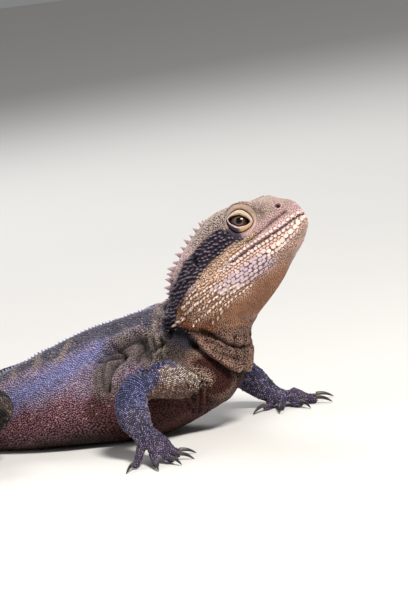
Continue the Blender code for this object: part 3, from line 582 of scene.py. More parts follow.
def lidHeight(side, wide, high, share):
    # a dome over the eyeball that runs out onto the hide
    look, across, upright = lidFrame(side)
    thick = np.interp(share, [ring[0] for ring in lidRings], [ring[1] for ring in lidRings])
    radius = headValues["eyeRadius"] + thick
    far = np.hypot(wide, high)
    edge = 0.88 * radius
    dome = np.sqrt(radius ** 2 - np.minimum(far, edge) ** 2) - np.maximum(far - edge, 0) * 1.85
    hide = np.full(len(wide), -20.0)
    for k in np.nonzero(share > 0.03)[0]:
        hit = rayHit(skinTree, eyeCentres[side] + across * wide[k] + upright * high[k] + look * 15, -look)
        if hit:
            hide[k] = (hit[0] - eyeCentres[side]) @ look + thick[k] - 1.2
    near = np.clip(1 - np.abs(dome - hide) / 1.6, 0, 1)
    return np.maximum(dome, hide) + near ** 2 * 0.4


def lidPoints(side, turn, share):
    look, across, upright = lidFrame(side)
    reach = lidReach(turn, share)
    wide, high = reach * np.cos(turn), reach * np.sin(turn)
    rise = lidHeight(side, wide, high, share)
    return eyeCentres[side] + across * wide[:, None] + upright * high[:, None] + look * rise[:, None]


def mouthGap(points):
    back, out, rise = headCoords(points)
    gap = rise - keyed(headValues["lip"], back)
    return np.where((back < headValues["mouthEnds"] + 0.5) & (np.abs(out) < 30), gap, 99.0)


def holeAxis(name, side):
    fore, out, up = headValues[name + "Faces"]
    back, left, rise = headValues[name]
    middle = headPlace(back, left * sideOf[side], rise)
    return middle, unit(headFore * fore + headLeft * out * sideOf[side] + headUp * up)


def holeGap(points, name, side):
    # distance from the line that a nostril or an ear runs in along
    middle, axis = holeAxis(name, side)
    d = points - middle
    along = d @ axis
    return np.where(np.abs(along) < 5, np.linalg.norm(d - along[:, None] * axis, axis=1), 99.0)


def fullness(points, chosen):
    # how far the smoothing has sunk the snout and crown below the solid head
    solid = surfaceTree(frame["nodes"]["head"].data)
    lost = np.zeros(len(points))
    for k in np.nonzero(chosen)[0]:
        lost[k] = solid.find_nearest(Vector(points[k] / 1000))[3] * 1000
    return np.clip(lost, 0, 1.5)


def sculptSkin():
    mesh = skin.data
    points, normals = meshPoints(mesh), meshNormals(mesh)
    start = points.copy()
    where = Place(points)
    back, _, rise = headCoords(points)
    head = where.trunk & (where.along < 75)
    sunk = -(skinValues["grown"] + skinValues["coatDepth"]) * 1000
    push = np.where(where.named("hand", "foot"), -skinValues["digitsSunk"], sunk)
    full = head & (back < 34) & (rise - keyed(headValues["lip"], back) > 2.5)
    push += fullness(points, full) * 0.8 * (1 - eased(26, 34, back)) * full
    for pixels, width, depth in folds:
        gap = gapTo(points, strokeOf(pixels), 7)
        push -= depth * np.exp(-(gap / width) ** 2)
    waves = noiseAt(points, 7.0, 3) - 0.5
    wavy = where.trunk & (where.along > 80) & (where.along < 300)
    push += waves * skinValues["waves"] * np.where(wavy, 1, 0.25)
    mouth = mouthGap(points)
    push -= headValues["mouthDepth"] * np.exp(-(mouth / headValues["mouthWidth"]) ** 2) * head
    for above, width, height in headValues["lipRidges"]:
        push += height * np.exp(-((mouth - above) / width) ** 2) * head
    for side in sideOf:
        for name in ("nostril", "ear"):
            gap, radius = holeGap(points, name, side), headValues[name + "Radius"]
            push -= headValues[name + "Depth"] * np.exp(-(gap / radius) ** 4) * head
            push += headValues["holeRim"] * np.exp(-((gap - radius * 1.4) / (radius * 0.4)) ** 2) * head
    points = points + normals * push[:, None]
    for side in sideOf:
        look, across, upright = lidFrame(side)
        share = lidShare(points, side)
        under = np.nonzero(head & (share < 1))[0]
        d = points[under] - eyeCentres[side]
        wide, high = d @ across, d @ upright
        floor = lidHeight(side, wide, high, np.maximum(share[under], 0)) - 1.0
        drop = np.maximum(d @ look - floor, 0) * (1 - eased(0.86, 1.0, share[under]))
        points[under] -= look * drop[:, None]
    points[:, 2] = np.maximum(points[:, 2], 0.02)
    setPoints(mesh, points)
    return pointTree(points), start - points


sculpted, sculptedFrom = sculptSkin()


def unfolded(points):
    # the same places on the skin as it was before it was pressed and folded
    return points + sculptedFrom[[sculpted.find(p)[1] for p in points]]


skin.data.shade_smooth()
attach(skin, "root")
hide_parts(*fleshNodes)
print("skin shaped:", len(skin.data.polygons), "faces")

# Colours of the hide, as (ground between the scales, their raised middles), in the screen's own 0 to 255. The
# middles' paler colour is partly the scales' own and partly painted highlight; the ground's darkness is
# partly painted shade between the scales
markings = {
    "crown": ((120, 102, 94), (178, 156, 148)),
    "snoutSide": ((134, 106, 106), (190, 160, 160)),
    "lip": ((140, 112, 108), (216, 190, 186)),
    # painted shade in the mouth's groove
    "mouthGrooveShade": ((36, 30, 44), (60, 50, 60)),
    "temple": ((76, 64, 58), (180, 163, 155)),
    "plates": ((96, 70, 70), (190, 170, 177)),
    "lowerLip": ((118, 84, 72), (216, 195, 188)),
    "throat": ((116, 82, 63), (150, 109, 87)),
    "chin": ((124, 90, 76), (206, 176, 164)),
    "beads": ((112, 78, 62), (206, 172, 152)),
    "bead": ((104, 70, 54), (246, 224, 208)),
    "jawCorner": ((88, 52, 34), (140, 94, 70)),
    "bag": ((46, 30, 24), (136, 108, 96)),
    "darkBand": ((4, 3, 6), (140, 124, 146)),
    "shadow": ((10, 8, 14), (52, 46, 62)),
    "yellowBand": ((112, 82, 64), (216, 186, 160)),
    "nape": ((78, 60, 60), (196, 170, 168)),
    "paleBar": ((74, 64, 66), (156, 140, 134)),
    # the back's bluish tips: partly its own colour, partly painted sky reflection
    "back": ((38, 35, 44), (100, 96, 114)),
    # painted sky reflection: a broad pale blue-grey band over the upper flank
    "paintedSkyReflection": ((68, 67, 98), (140, 142, 192)),
    "upperFlank": ((66, 54, 66), (172, 150, 172)),
    "lowerFlank": ((44, 20, 24), (150, 106, 116)),
    "redFlank": ((30, 10, 12), (92, 54, 54)),
    # the belly's dark red-brown: partly its own, partly painted shade of the underside
    "belly": ((16, 7, 6), (48, 26, 20)),
    "chest": ((26, 8, 6), (70, 30, 24)),
    "shoulder": ((54, 46, 56), (116, 104, 110)),
    "wrinkle": ((30, 25, 24), (146, 134, 124)),
    "olive": ((26, 21, 22), (76, 66, 63)),
    "pleat": ((56, 48, 48), (112, 100, 96)),
    "arm": ((5, 4, 9), (134, 126, 160)),
    "armBlue": ((6, 6, 14), (126, 124, 174)),
    "armGold": ((30, 20, 20), (255, 226, 204)),
    "armUnder": ((10, 6, 8), (170, 134, 118)),
    "elbow": ((8, 9, 20), (114, 119, 172)),
    "hand": ((14, 10, 19), (144, 128, 166)),
    # the legs' near-black: partly their own dark brown, partly painted shade
    "leg": ((5, 4, 4), (56, 44, 43)),
    "legBand": ((54, 46, 48), (140, 126, 116)),
    "tail": ((40, 34, 38), (110, 98, 96)),
    "tailBand": ((84, 72, 64), (168, 152, 132)),
    # the black patch below the eye, and painted shade in the ears
    "blackPatchAndEarShade": ((6, 6, 10), (22, 18, 26)),
    "nostrilRed": ((38, 6, 10), (70, 20, 22)),
    # painted shade along the fold of the upper lip
    "lipFold": ((80, 50, 40), (132, 90, 74)),
    # painted shade in the hollow before the eye
    "loreal": ((70, 54, 42), (136, 112, 90)),
    "browLine": ((90, 58, 40), (170, 128, 98)),
}
# Where some of them lie: pixels of the photograph, then half width and soft edge in mm
nearStrokes = {
    "darkBand": ([(219, 241), (212, 246), (205, 252), (197.5, 262.5), (186, 276)], 5.9, 2.0),
    "darkFront": ([(238, 234), (230, 237), (222, 241)], 3.6, 2.6),
    "darkBack": ([(184, 280), (176.7, 291.7), (172, 305), (169, 319)], 4.6, 2.0),
    "shadow": ([(167, 324), (172, 333), (180, 337), (188, 341)], 4.2, 2.4),
    "yellowBand": ([(252, 236), (243, 243), (231, 252), (219, 263), (209, 272), (198, 284)], 2.4, 2.4),
    "beads": ([(236, 286), (222, 290), (207, 298), (194, 308)], 9.0, 4.0),
    "eyePatch": ([(228, 231), (233, 234), (239, 236)], 1.6, 1.2),
    "temple": ([(196, 236), (203, 226), (214, 219), (222, 214)], 6.0, 4.0),
    "jawCorner": ([(186, 322), (194, 323), (205, 327)], 4.5, 3.5),
    "barNape": ([(159, 306), (158, 318), (157, 330)], 3.0, 2.5),
    "bar1": ([(75, 328), (68, 342), (60, 357)], 2.6, 2.2),
    "bar2": ([(44, 342), (39, 354), (34, 368)], 2.4, 2.2),
    "bar3": ([(21, 352), (17, 364), (13, 376)], 2.2, 2.2),
    # where the painted sky reflection lies
    "paintedSkyReflection": ([(-6, 404), (12, 396), (34, 386), (56, 375), (78, 361), (98, 352)], 7.0, 13.0),
    "wrinkle": ([(148, 338), (154, 346), (156, 356), (150, 366)], 5.2, 3.4),
    "wrinkleRidge": ([(136, 333), (123, 339), (108, 345)], 2.0, 2.0),
    "olive": ([(166, 348), (182, 350), (194, 360)], 7.5, 4.0),
    "pleats": ([(104, 380), (110, 362), (124, 350), (142, 348), (160, 352), (180, 352), (192, 358)],
               8.0, 9.0),
    "bag": ([(204, 338), (218, 346), (232, 356), (246, 360)], 9.0, 4.0),
    "bagLow": ([(199, 346), (212, 353), (228, 366)], 5.0, 2.0),
    "chest": ([(206, 374), (220, 380), (238, 390)], 9.0, 4.0),
    "redFlank": ([(100, 410), (110, 420), (116, 432)], 9.0, 7.0),
    "armGold": ([(168, 374), (182, 372), (196, 376), (204, 380)], 5.0, 4.0),
    "fold": ([(100, 362), (104, 376), (106, 392)], 6.0, 4.0),
    # where the painted shade of the lip's fold lies
    "lipFold": ([(284, 211.8), (272, 221), (262, 230), (252, 238), (246, 242.5)], 0.55, 0.8),
    "loreal": ([(249, 209.5), (255, 210.5), (261, 212.5)], 1.2, 2.4),
    "browLine": ([(225.5, 208), (230, 204.8), (237, 203.6), (245, 204)], 0.8, 1.2),
}
darkStrokes = ("darkBand", "darkFront", "darkBack")
strokePoints = {name: (strokeOf(pixels), half, soft) for name, (pixels, half, soft) in nearStrokes.items()}
foldPoints = [(strokeOf(pixels), width, depth) for pixels, width, depth in folds]


def linear(colour):
    return (np.array(colour, float) / 255) ** 2.2


def blend(a, b, share):
    return a * (1 - share) + b * share


def strokeMask(points, name, grow=1.0, ragged=None):
    line, half, soft = strokePoints[name]
    gap = gapTo(points, line, half * grow + soft + 1)
    if ragged is not None:
        gap = gap + ragged
    return 1 - eased(half * grow - soft / 2, half * grow + soft / 2, gap)


def layTrunk(lay, points, where, ragged, coarse):
    # s is in mm along the part's own line, steep in degrees round it from its top
    s, steep, trunk = where.along, where.steep, where.trunk.astype(float)
    # the back, its bluish tips partly a painted sky reflection
    lay("back", trunk * (1 - eased(36, 60, steep + coarse * 20)))
    lay("lowerFlank", trunk * eased(84, 112, steep + coarse * 24))
    # the underside darkens to the belly, partly painted shade
    lay("belly", trunk * eased(112, 140, steep + coarse * 16))
    # painted reflection of the sky along the upper flank
    lay("paintedSkyReflection", 0.95 * trunk * strokeMask(points, "paintedSkyReflection", 1, ragged))
    lay("redFlank", 0.8 * trunk * strokeMask(points, "redFlank"))
    lay("tail", trunk * eased(232, 262, s))
    wave = (s + coarse * 8) / np.interp(s, [240, 700], [30, 22])
    band = 0.5 + 0.5 * np.cos(wave * 2 * np.pi)
    lay("tailBand", 0.85 * trunk * eased(245, 262, s) * eased(0.55, 0.9, band)
        * (1 - 0.6 * eased(110, 160, steep)))
    for name in ("bar1", "bar2", "bar3"):
        lay("paleBar", 0.9 * trunk * strokeMask(points, name, 1, ragged * 0.7) * (1 - eased(52, 74, steep)))
    lay("shoulder", trunk * eased(66, 76, s) * (1 - eased(112, 124, s)) * eased(34, 56, steep))
    lay("chest", trunk * eased(92, 100, s) * (1 - eased(128, 142, s)) * eased(112, 132, steep))
    lay("pleat", 0.92 * trunk * strokeMask(points, "pleats", 1, ragged))
    lay("olive", trunk * strokeMask(points, "olive"))
    lay("bag", trunk * eased(66, 74, s) * (1 - eased(96, 106, s)) * eased(96, 118, steep))
    lay("bag", trunk * np.maximum(strokeMask(points, "bag"), strokeMask(points, "bagLow")))
    lay("chest", trunk * strokeMask(points, "chest"))
    lay("wrinkle", trunk * strokeMask(points, "wrinkle")
        * eased(0.30, 0.62, noiseAt(points * (1, 1, 0.5), 1.6, 11)))
    lay("wrinkle", 0.3 * trunk * strokeMask(points, "wrinkleRidge"))
    lay("wrinkle", 0.5 * trunk * strokeMask(points, "fold")
        * eased(0.45, 0.75, noiseAt(points * (1, 1, 0.4), 1.5, 12)))
    lay("nape", trunk * eased(44, 54, s) * (1 - eased(84, 112, s)) * (1 - eased(26, 44, steep)))
    lay("paleBar", 0.8 * trunk * strokeMask(points, "barNape", 1, ragged * 0.6))


def layHead(lay, points, where, ragged):
    # back and rise are in mm in the head's own frame, lipRise in mm above the mouth's line
    s, trunk = where.along, where.trunk.astype(float)
    back, out, rise = headCoords(points)
    lipRise = rise - keyed(headValues["lip"], back)
    head = trunk * (1 - eased(62, 72, s))
    lay("crown", head)
    lay("nape", head * eased(46, 58, s) * (rise > 0))
    lay("temple", head * strokeMask(points, "temple"))
    lay("snoutSide", head * (1 - eased(20, 27, back)) * (1 - eased(7, 11, rise)))
    low = 1 - eased(-0.4, 0.4, lipRise)
    level = points[:, 2] - origin[2] + (noiseAt(points, 3.0, 17) - 0.5) * 9
    lay("throat", trunk * (1 - eased(90, 98, s)) * low * eased(48, 60, level))
    lay("jawCorner", trunk * strokeMask(points, "jawCorner"))
    lay("chin", head * low * eased(-16, -7, rise + back * 0.06) * (1 - eased(46, 56, back)))
    lay("plates", head * low * eased(-15, -11, lipRise) * (1 - eased(-5.4, -4.4, lipRise))
        * eased(17, 23, back) * (1 - eased(50, 58, back)) * eased(6, 11, np.abs(out)))
    lay("beads", 0.8 * trunk * low * strokeMask(points, "beads"))
    lay("lowerLip", head * eased(-2.6, -2.0, lipRise) * low * (1 - eased(42, 47, back)))
    lay("lip", head * (1 - low) * (1 - eased(2.4, 4.2, lipRise)) * (1 - eased(38, 43, back)))
    lay("yellowBand", 0.8 * head * strokeMask(points, "yellowBand", 1, ragged * 0.3))
    band = np.maximum.reduce([strokeMask(points, name, 1, ragged * 0.5) for name in darkStrokes])
    lay("darkBand", band * trunk * (1 - 0.9 * eased(30, 22, where.steep)))
    lay("shadow", 0.9 * strokeMask(points, "shadow") * trunk)
    lay("blackPatchAndEarShade", 0.8 * head * strokeMask(points, "eyePatch"))
    # painted shade in the hollow before the eye and along the lip's fold; the brow's line is its own colour
    for name in ("loreal", "browLine", "lipFold"):
        lay(name, (0.4 if name == "loreal" else 0.8) * head * strokeMask(points, name))
    # painted shade along the mouth's groove
    lay("mouthGrooveShade", head * np.exp(-(mouthGap(points) / 0.4) ** 4))
    # the ears and nostrils are painted dark inside: painted shade in the holes, over the nostrils' own red
    for side in sideOf:
        for name, hue in (("nostril", "nostrilRed"), ("ear", "blackPatchAndEarShade")):
            gap = holeGap(points, name, side)
            lay(hue, 0.95 * head * (1 - eased(0.9, 1.25, gap / headValues[name + "Radius"])))


def layLimbs(lay, points, where, coarse):
    s, steep = where.along, where.steep
    arm, leg, hand, foot = (where.named(name).astype(float) for name in ("arm", "leg", "hand", "foot"))
    outer = where.out * np.where(np.char.find(lineNames, "right") > 0, -1, 1)[where.part]
    fleck = noiseAt(points, 0.9, 31)
    lay("arm", arm)
    lay("armUnder", arm * (1 - eased(48, 58, s)) * eased(76, 116, steep) * eased(0.2, 0.5, fleck + 0.25))
    lay("armBlue", arm * (1 - eased(46, 56, s)) * (1 - eased(60, 90, steep)) * eased(14, 24, s))
    lay("armGold", strokeMask(points, "armGold") * eased(0.15, 0.5, fleck) * (1 - 0.7 * where.trunk))
    lay("elbow", 0.9 * arm * eased(38, 46, s) * (1 - eased(56, 68, s))
        * eased(-2, 2, where.rise + outer * 0.4))
    lay("tail", leg)
    # the legs darkened, partly painted shade
    lay("leg", leg * eased(-2, 26, s + coarse * 16))
    wave = 0.5 + 0.5 * np.cos((s + coarse * 6) / 17 * 2 * np.pi)
    lay("legBand", 0.6 * leg * eased(0.7, 0.95, wave) * (1 - eased(80, 120, steep)) * eased(24, 40, s))
    lay("hand", np.maximum(hand, arm * eased(84, 92, s)))
    lay("leg", foot)
    joint = 0.5 + 0.5 * np.cos((s + coarse * 3) / 6.5 * 2 * np.pi)
    lay("legBand", 0.4 * np.maximum(hand, foot) * eased(0.6, 0.9, joint) * (1 - eased(90, 130, steep)))


def hideColours(points):
    # the ground's and the tips' colours at each place on the hide, where a fold counts as smoothed out
    points = unfolded(points)
    where = Place(points)
    ragged = (noiseAt(points, 4.0, 5) - 0.5) * 3.0
    coarse = noiseAt(points, 9.0, 8) - 0.5
    ground, tip = (np.tile(linear(colour), (len(points), 1)) for colour in markings["upperFlank"])

    def lay(name, mask):
        m = np.clip(mask, 0, 1)[:, None]
        ground[:] = blend(ground, linear(markings[name][0]), m)
        tip[:] = blend(tip, linear(markings[name][1]), m)

    layTrunk(lay, points, where, ragged, coarse)
    layHead(lay, points, where, ragged)
    layLimbs(lay, points, where, coarse)
    # painted shade darkens the colours along each fold's groove, and painted light lifts them along each
    # raised fold
    for line, width, depth in foldPoints:
        near = np.exp(-(gapTo(points, line, 7) / (width * 0.9)) ** 2)[:, None]
        foldShadeAndLight = 1 - min(0.7, 0.24 * depth) * near if depth > 0 else 1 + 0.3 * near
        ground *= foldShadeAndLight
        tip *= foldShadeAndLight
    shade = 1 + (noiseAt(points, 3.0, 21)[:, None] - 0.5) * 0.35 + coarse[:, None] * 0.25
    return ground * shade, tip * shade


def writeHue(mesh, colours):
    attribute = mesh.color_attributes.new("hue", "FLOAT_COLOR", "POINT")
    rgba = np.ones((len(colours), 4))
    rgba[:, :3] = np.clip(colours, 0, 1)
    attribute.data.foreach_set("color", rgba.ravel())


skinPoints = meshPoints(skin.data)
ground, tip = hideColours(skinPoints)
# the bare skin between the scales takes mostly the ground's colour, partly painted shade between the scales
writeHue(skin.data, ground * 0.93 + tip * 0.07)
print("hide coloured")


def newMaterial(name):
    material = bpy.data.materials.new(name)
    material.use_nodes = True
    return material


def addNode(tree, kind, inputs=None, **settings):
    # a new node, or the tree's own shader, with the values of its inputs
    node = tree.nodes["Principled BSDF"] if kind == "Shader" else tree.nodes.new("ShaderNode" + kind)
    for name, value in settings.items():
        setattr(node, name, value)
    for name, value in (inputs or {}).items():
        node.inputs[name].default_value = value
    return node


def addRamp(tree, *stops):
    ramp = addNode(tree, "ValToRGB")
    own = ramp.color_ramp.elements
    for k, (at, colour) in enumerate(stops):
        stop = own[k] if k < 2 else own.new(at)
        stop.position, stop.color = at, (*colour, 1)
    return ramp


def wire(tree, *links):
    for source, output, target, entry in links:
        tree.links.new(source.outputs[output], target.inputs[entry])


def hideMaterial(name, rough, grain, depth, gloss):
    # the hide's own colours, broken up by a fine noise that also drives the roughness and the bump
    material = newMaterial(name)
    tree = material.node_tree
    shader = addNode(tree, "Shader", {"Specular IOR Level": gloss})
    hue = addNode(tree, "Attribute", attribute_name="hue")
    place = addNode(tree, "TexCoord")
    fine = addNode(tree, "TexNoise", {"Scale": grain, "Detail": 6})
    patch = addNode(tree, "MapRange", {"To Min": 0.72, "To Max": 1.28})
    mix = addNode(tree, "Mix", {"Factor": 1}, data_type="RGBA", blend_type="MULTIPLY")
    roughness = addNode(tree, "MapRange", {"To Min": rough - 0.1, "To Max": rough + 0.12})
    bump = addNode(tree, "Bump", {"Strength": 0.6, "Distance": depth})
    wire(tree, (place, "Object", fine, "Vector"), (fine, "Fac", patch, "Value"),
         (fine, "Fac", roughness, "Value"), (hue, "Color", mix, "A"), (patch, "Result", mix, "B"),
         (mix, "Result", shader, "Base Color"),
         (roughness, "Result", shader, "Roughness"), (fine, "Fac", bump, "Height"),
         (bump, "Normal", shader, "Normal"))
    return material


hide = hideMaterial("dragonHide", 0.62, 900, 0.0001, 0.15)
scale = hideMaterial("dragonScale", 0.5, 1400, 0.00005, 0.24)
skin.data.materials.append(hide)

# Eyeballs, each with its place's distance from the look axis kept for the iris
eyeValues = {
    "iris": (0.022, 0.010, 0.007), "irisLight": (0.060, 0.026, 0.012),
    "ring": (0.17, 0.095, 0.032), "pupil": (0.001, 0.0015, 0.006),
    "pupilRadius": 1.8, "ringRadius": 2.2, "bulge": 0.035,
    "reach": 8.0,  # mm from the pupil's middle to the end of the eye's colours
}


def newPiece(name, points, faces):
    mesh = bpy.data.meshes.new(name)
    mesh.from_pydata([tuple(p) for p in np.asarray(points) / 1000], [], faces)
    mesh.validate()
    piece = bpy.data.objects.new(name, mesh)
    bpy.context.scene.collection.objects.link(piece)
    mesh.shade_smooth()
    return piece


def ringFaces(rings, sides):
    # quads between rings of as many sides, each ring's points following the last one's
    around = [(k, (k + 1) % sides) for k in range(sides)]
    return [(low + a, low + b, low + sides + b, low + sides + a)
            for low in range(0, (rings - 1) * sides, sides) for a, b in around]


def eyeMaterial():
    material = newMaterial("wetEye")
    tree, reach = material.node_tree, eyeValues["reach"]
    shader = addNode(tree, "Shader", {"Roughness": 0.2, "Specular IOR Level": 0.2, "Coat Weight": 0.18,
                                      "Coat Roughness": 0.04})
    gap = addNode(tree, "Attribute", attribute_name="fromPupil")
    place = addNode(tree, "TexCoord")
    fleck = addNode(tree, "TexNoise", {"Scale": 1500})
    wander = addNode(tree, "Math", {1: 0.02}, operation="MULTIPLY_ADD")
    pupil, ring = eyeValues["pupilRadius"], eyeValues["ringRadius"]
    ramp = addRamp(tree, *[(at / reach, eyeValues[colour]) for at, colour in (
        (0, "pupil"), (pupil, "pupil"), (pupil + 0.08, "ring"), (ring - 0.05, "ring"),
        (ring + 0.12, "irisLight"), (3.2, "iris"), (6.0, "pupil"))])
    wire(tree, (place, "Object", fleck, "Vector"), (fleck, "Fac", wander, 0), (gap, "Fac", wander, 2),
         (wander, "Value", ramp, "Fac"), (ramp, "Color", shader, "Base Color"))
    return material


def makeEye(side, material):
    look, fore, up = eyeAxes(side)
    bpy.ops.mesh.primitive_uv_sphere_add(segments=48, ring_count=32, radius=1)
    eye = bpy.context.object
    eye.name = eye.data.name = f"eyeball_{side}"
    points = meshPoints(eye.data) / 1000
    bulge = 1 + eyeValues["bulge"] * eased(0.94, 1.0, points[:, 2])
    turned = (points[:, :1] * fore + points[:, 1:2] * up + points[:, 2:] * look) * bulge[:, None]
    setPoints(eye.data, eyeCentres[side] + turned * headValues["eyeRadius"])
    if np.cross(fore, up) @ look < 0:
        eye.data.flip_normals()
    fromPupil = np.arccos(np.clip(points[:, 2], -1, 1)) * headValues["eyeRadius"] / eyeValues["reach"]
    attribute = eye.data.attributes.new("fromPupil", "FLOAT", "POINT")
    attribute.data.foreach_set("value", fromPupil)
    eye.data.shade_smooth()
    eye.data.materials.append(material)
    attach(eye, "root")
    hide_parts(f"eye_{side}")


wetEye = eyeMaterial()
for side in sideOf:
    makeEye(side, wetEye)
print("eyes made")

# Lids: rings swept over the eyeball from the opening's rim outwards
lidMarkings = {
    "rimUp": ((60, 48, 44), (160, 136, 116)),
    "rimLow": ((136, 104, 104), (206, 180, 182)),
    # painted shade in the lids' creases, near black
    "crease": ((14, 10, 14), (30, 24, 28)),
    "band": ((138, 116, 98), (206, 184, 162)),
    "lower": ((112, 82, 54), (196, 160, 118)),
    "patch": ((10, 7, 12), (66, 54, 64)),
    "outer": ((92, 72, 56), (170, 142, 118)),
}


def lidHues(turn, share, points):
    # ground and tip at each place on the lids; the outer rings pass into the hide's own colours
    upper = np.sin(turn) > 0
    ringAt = np.searchsorted([ring[0] for ring in lidRings], share + 0.01, side="right") - 1
    names = np.array([ring[2] for ring in lidRings])[ringAt]
    names = np.where(names == "rim", np.where(upper, "rimUp", "rimLow"), names)
    names = np.where((names == "band") & ~upper, "lower", names)
    dark = (~upper & np.isin(names, ("lower", "outer"))) * (1 - eased(0.0, 0.45, np.cos(turn)))
    toHide = np.where(share > 0.5, 1 - 0.35 * np.clip(np.sin(turn + 0.3), 0, 1), 0) * eased(0.5, 0.68, share)
    hues = []
    for k, own in enumerate(hideColours(points)):
        hue = np.array([linear(lidMarkings[name][k]) for name in names])
        hue = blend(hue, linear(lidMarkings["patch"][k]), dark[:, None])
        hues.append(blend(hue * np.where(share > 0.5, 0.8, 1.0)[:, None], own, toHide[:, None]))
    return hues


def makeLids(side):
    count = 96
    share = np.repeat([ring[0] for ring in lidRings], count)
    turn = np.tile(np.arange(count) * 2 * math.pi / count, len(lidRings))
    points = lidPoints(side, turn, share)
    ground, tip = lidHues(turn, share, points)
    lids = newPiece(f"lids_{side}", points, ringFaces(len(lidRings), count))
    look, across, upright = lidFrame(side)
    if np.cross(across, upright) @ look < 0:
        lids.data.flip_normals()
    writeHue(lids.data, ground * 0.6 + tip * 0.4)
    useModifier(lids, "SUBSURF", levels=1, render_levels=1)
    lids.data.materials.append(hide)
    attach(lids, "root")


for side in sideOf:
    makeLids(side)
print("lids made")

# Claws: one curved horn, copied onto every digit
clawValues = {
    "rings": 12, "sides": 12,
    "radius": 1.28, "flat": 0.78, "tip": 0.12, "taper": 0.62, "rootNarrows": 0.16,
    "behind": 0.9, "short": 0.1, "arch": 0.75,  # mm behind the solid's root, short of its point, upwards
    "groove": 0.25,
    "horn": (0.014, 0.011, 0.012), "hornPale": (0.10, 0.078, 0.066),
}


def clawMaterial():
    material = newMaterial("clawHorn")
    tree = material.node_tree
    shader = addNode(tree, "Shader", {"Coat Weight": 0.08})
    along = addNode(tree, "Attribute", attribute_name="alongClaw")
    place = addNode(tree, "TexCoord")
    streak = addNode(tree, "TexNoise", {"Scale": 700, "Detail": 4})
    both = addNode(tree, "Math", {1: 0.5}, operation="MULTIPLY_ADD")
    ramp = addRamp(tree, (0.28, clawValues["hornPale"]), (0.75, clawValues["horn"]))
    bump = addNode(tree, "Bump", {"Distance": 0.00006})
    rough = addNode(tree, "MapRange", {"To Min": 0.38, "To Max": 0.56})
    wire(tree, (place, "Object", streak, "Vector"), (streak, "Fac", both, 0), (along, "Fac", both, 2),
         (both, "Value", ramp, "Fac"), (ramp, "Color", shader, "Base Color"), (streak, "Fac", bump, "Height"),
         (streak, "Fac", rough, "Value"), (rough, "Result", shader, "Roughness"),
         (bump, "Normal", shader, "Normal"))
    return material


def hornAt(node, palm):
    # rings along the solid claw's own middle line, from its root to its point
    solid = solidPoints(node)
    far = np.linalg.norm(solid - palm, axis=1)
    order = np.argsort(far)
    root, point = solid[order[:8]].mean(0), solid[order[-8:]].mean(0)
    ahead = unit(point - root)
    across = unit(np.cross(ahead, (0, 0, 1)))
    over = np.cross(across, ahead)
    points, along = [], []
    rings, sides = clawValues["rings"], clawValues["sides"]
    behind = ahead * clawValues["behind"]
    whole = ahead * (np.linalg.norm(point - root) + clawValues["behind"] - clawValues["short"])
    for r in range(rings):
        t = r / (rings - 1)
        middle = root - behind + whole * t + over * clawValues["arch"] * math.sin(math.pi * t) ** 1.2
        radius = clawValues["radius"] * (1 - t) ** clawValues["taper"] + clawValues["tip"] * t
        radius *= 1 - clawValues["rootNarrows"] * (1 - float(eased(0, 0.12, t)))
        for k in range(sides):
            turn = 2 * math.pi * k / sides
            groove = 1 - clawValues["groove"] * max(0, -math.sin(turn)) ** 3
            side = across * math.cos(turn) * radius * clawValues["flat"]
            p = middle + side + over * math.sin(turn) * radius * groove
            points.append((p[0], p[1], max(p[2], 0.02)))
            along.append(t)
    faces = ringFaces(rings, sides)
    faces += [tuple(range(sides))[::-1], tuple(range((rings - 1) * sides, rings * sides))]
    return points, faces, along


def makeClaws(limb, clawHorn):
    kind, side = endOf[limb.name[:3]], limb.name.split("_")[1]
    nodes = [f"claw_{kind}_{side}_{k}" for k in range(1, 6)]
    allPoints, allFaces, allAlong = [], [], []
    for node in nodes:
        points, faces, along = hornAt(node, limb.points[-1])
        allFaces += [tuple(v + len(allPoints) for v in face) for face in faces]
        allPoints += points
        allAlong += along
    claws = newPiece(f"claws_{kind}_{side}", allPoints, allFaces)
    attribute = claws.data.attributes.new("alongClaw", "FLOAT", "POINT")
    attribute.data.foreach_set("value", allAlong)
    inEditMode(claws, (bpy.ops.mesh.select_all, {"action": "SELECT"}),
               (bpy.ops.mesh.normals_make_consistent, {"inside": False}))
    claws.data.materials.append(clawHorn)
    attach(claws, "root")
    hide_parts(*nodes)


clawHorn = clawMaterial()
for line in lines:
    if line.name[:3] in endOf:
        makeClaws(line, clawHorn)
print("claws made")

# Scales: small closed-topped forms set close over the skin, their roots sunk in it, lying backwards.
# Every form has a ring of six at its root, a ring of six above it and a point; x is backwards, z is outwards.
# Each form: the rings' radii, the upper ring's shift and its height in front and behind, the point's place
# and height, and how fast the ground's colour fades into the tip's
scaleForms = {
    "granule": (1.04, 0.80, 0.05, (0.68, 0.72), (0.08, 1.0), 0.45),
    "keeled": (1.02, 0.76, 0.12, (0.30, 0.86), (0.30, 1.0), 1.2),
    "plate": (1.05, 0.88, 0.02, (0.84, 0.92), (0.05, 1.0), 0.35),
    "spiny": (0.92, 0.54, 0.16, (0.42, 0.52), (0.62, 1.0), 2.0),
    "beaded": (1.0, 0.64, 0.06, (0.50, 0.72), (0.16, 1.0), 3.4),
    "belly": (1.06, 0.84, 0.08, (0.35, 0.80), (0.30, 0.82), 0.6),
}
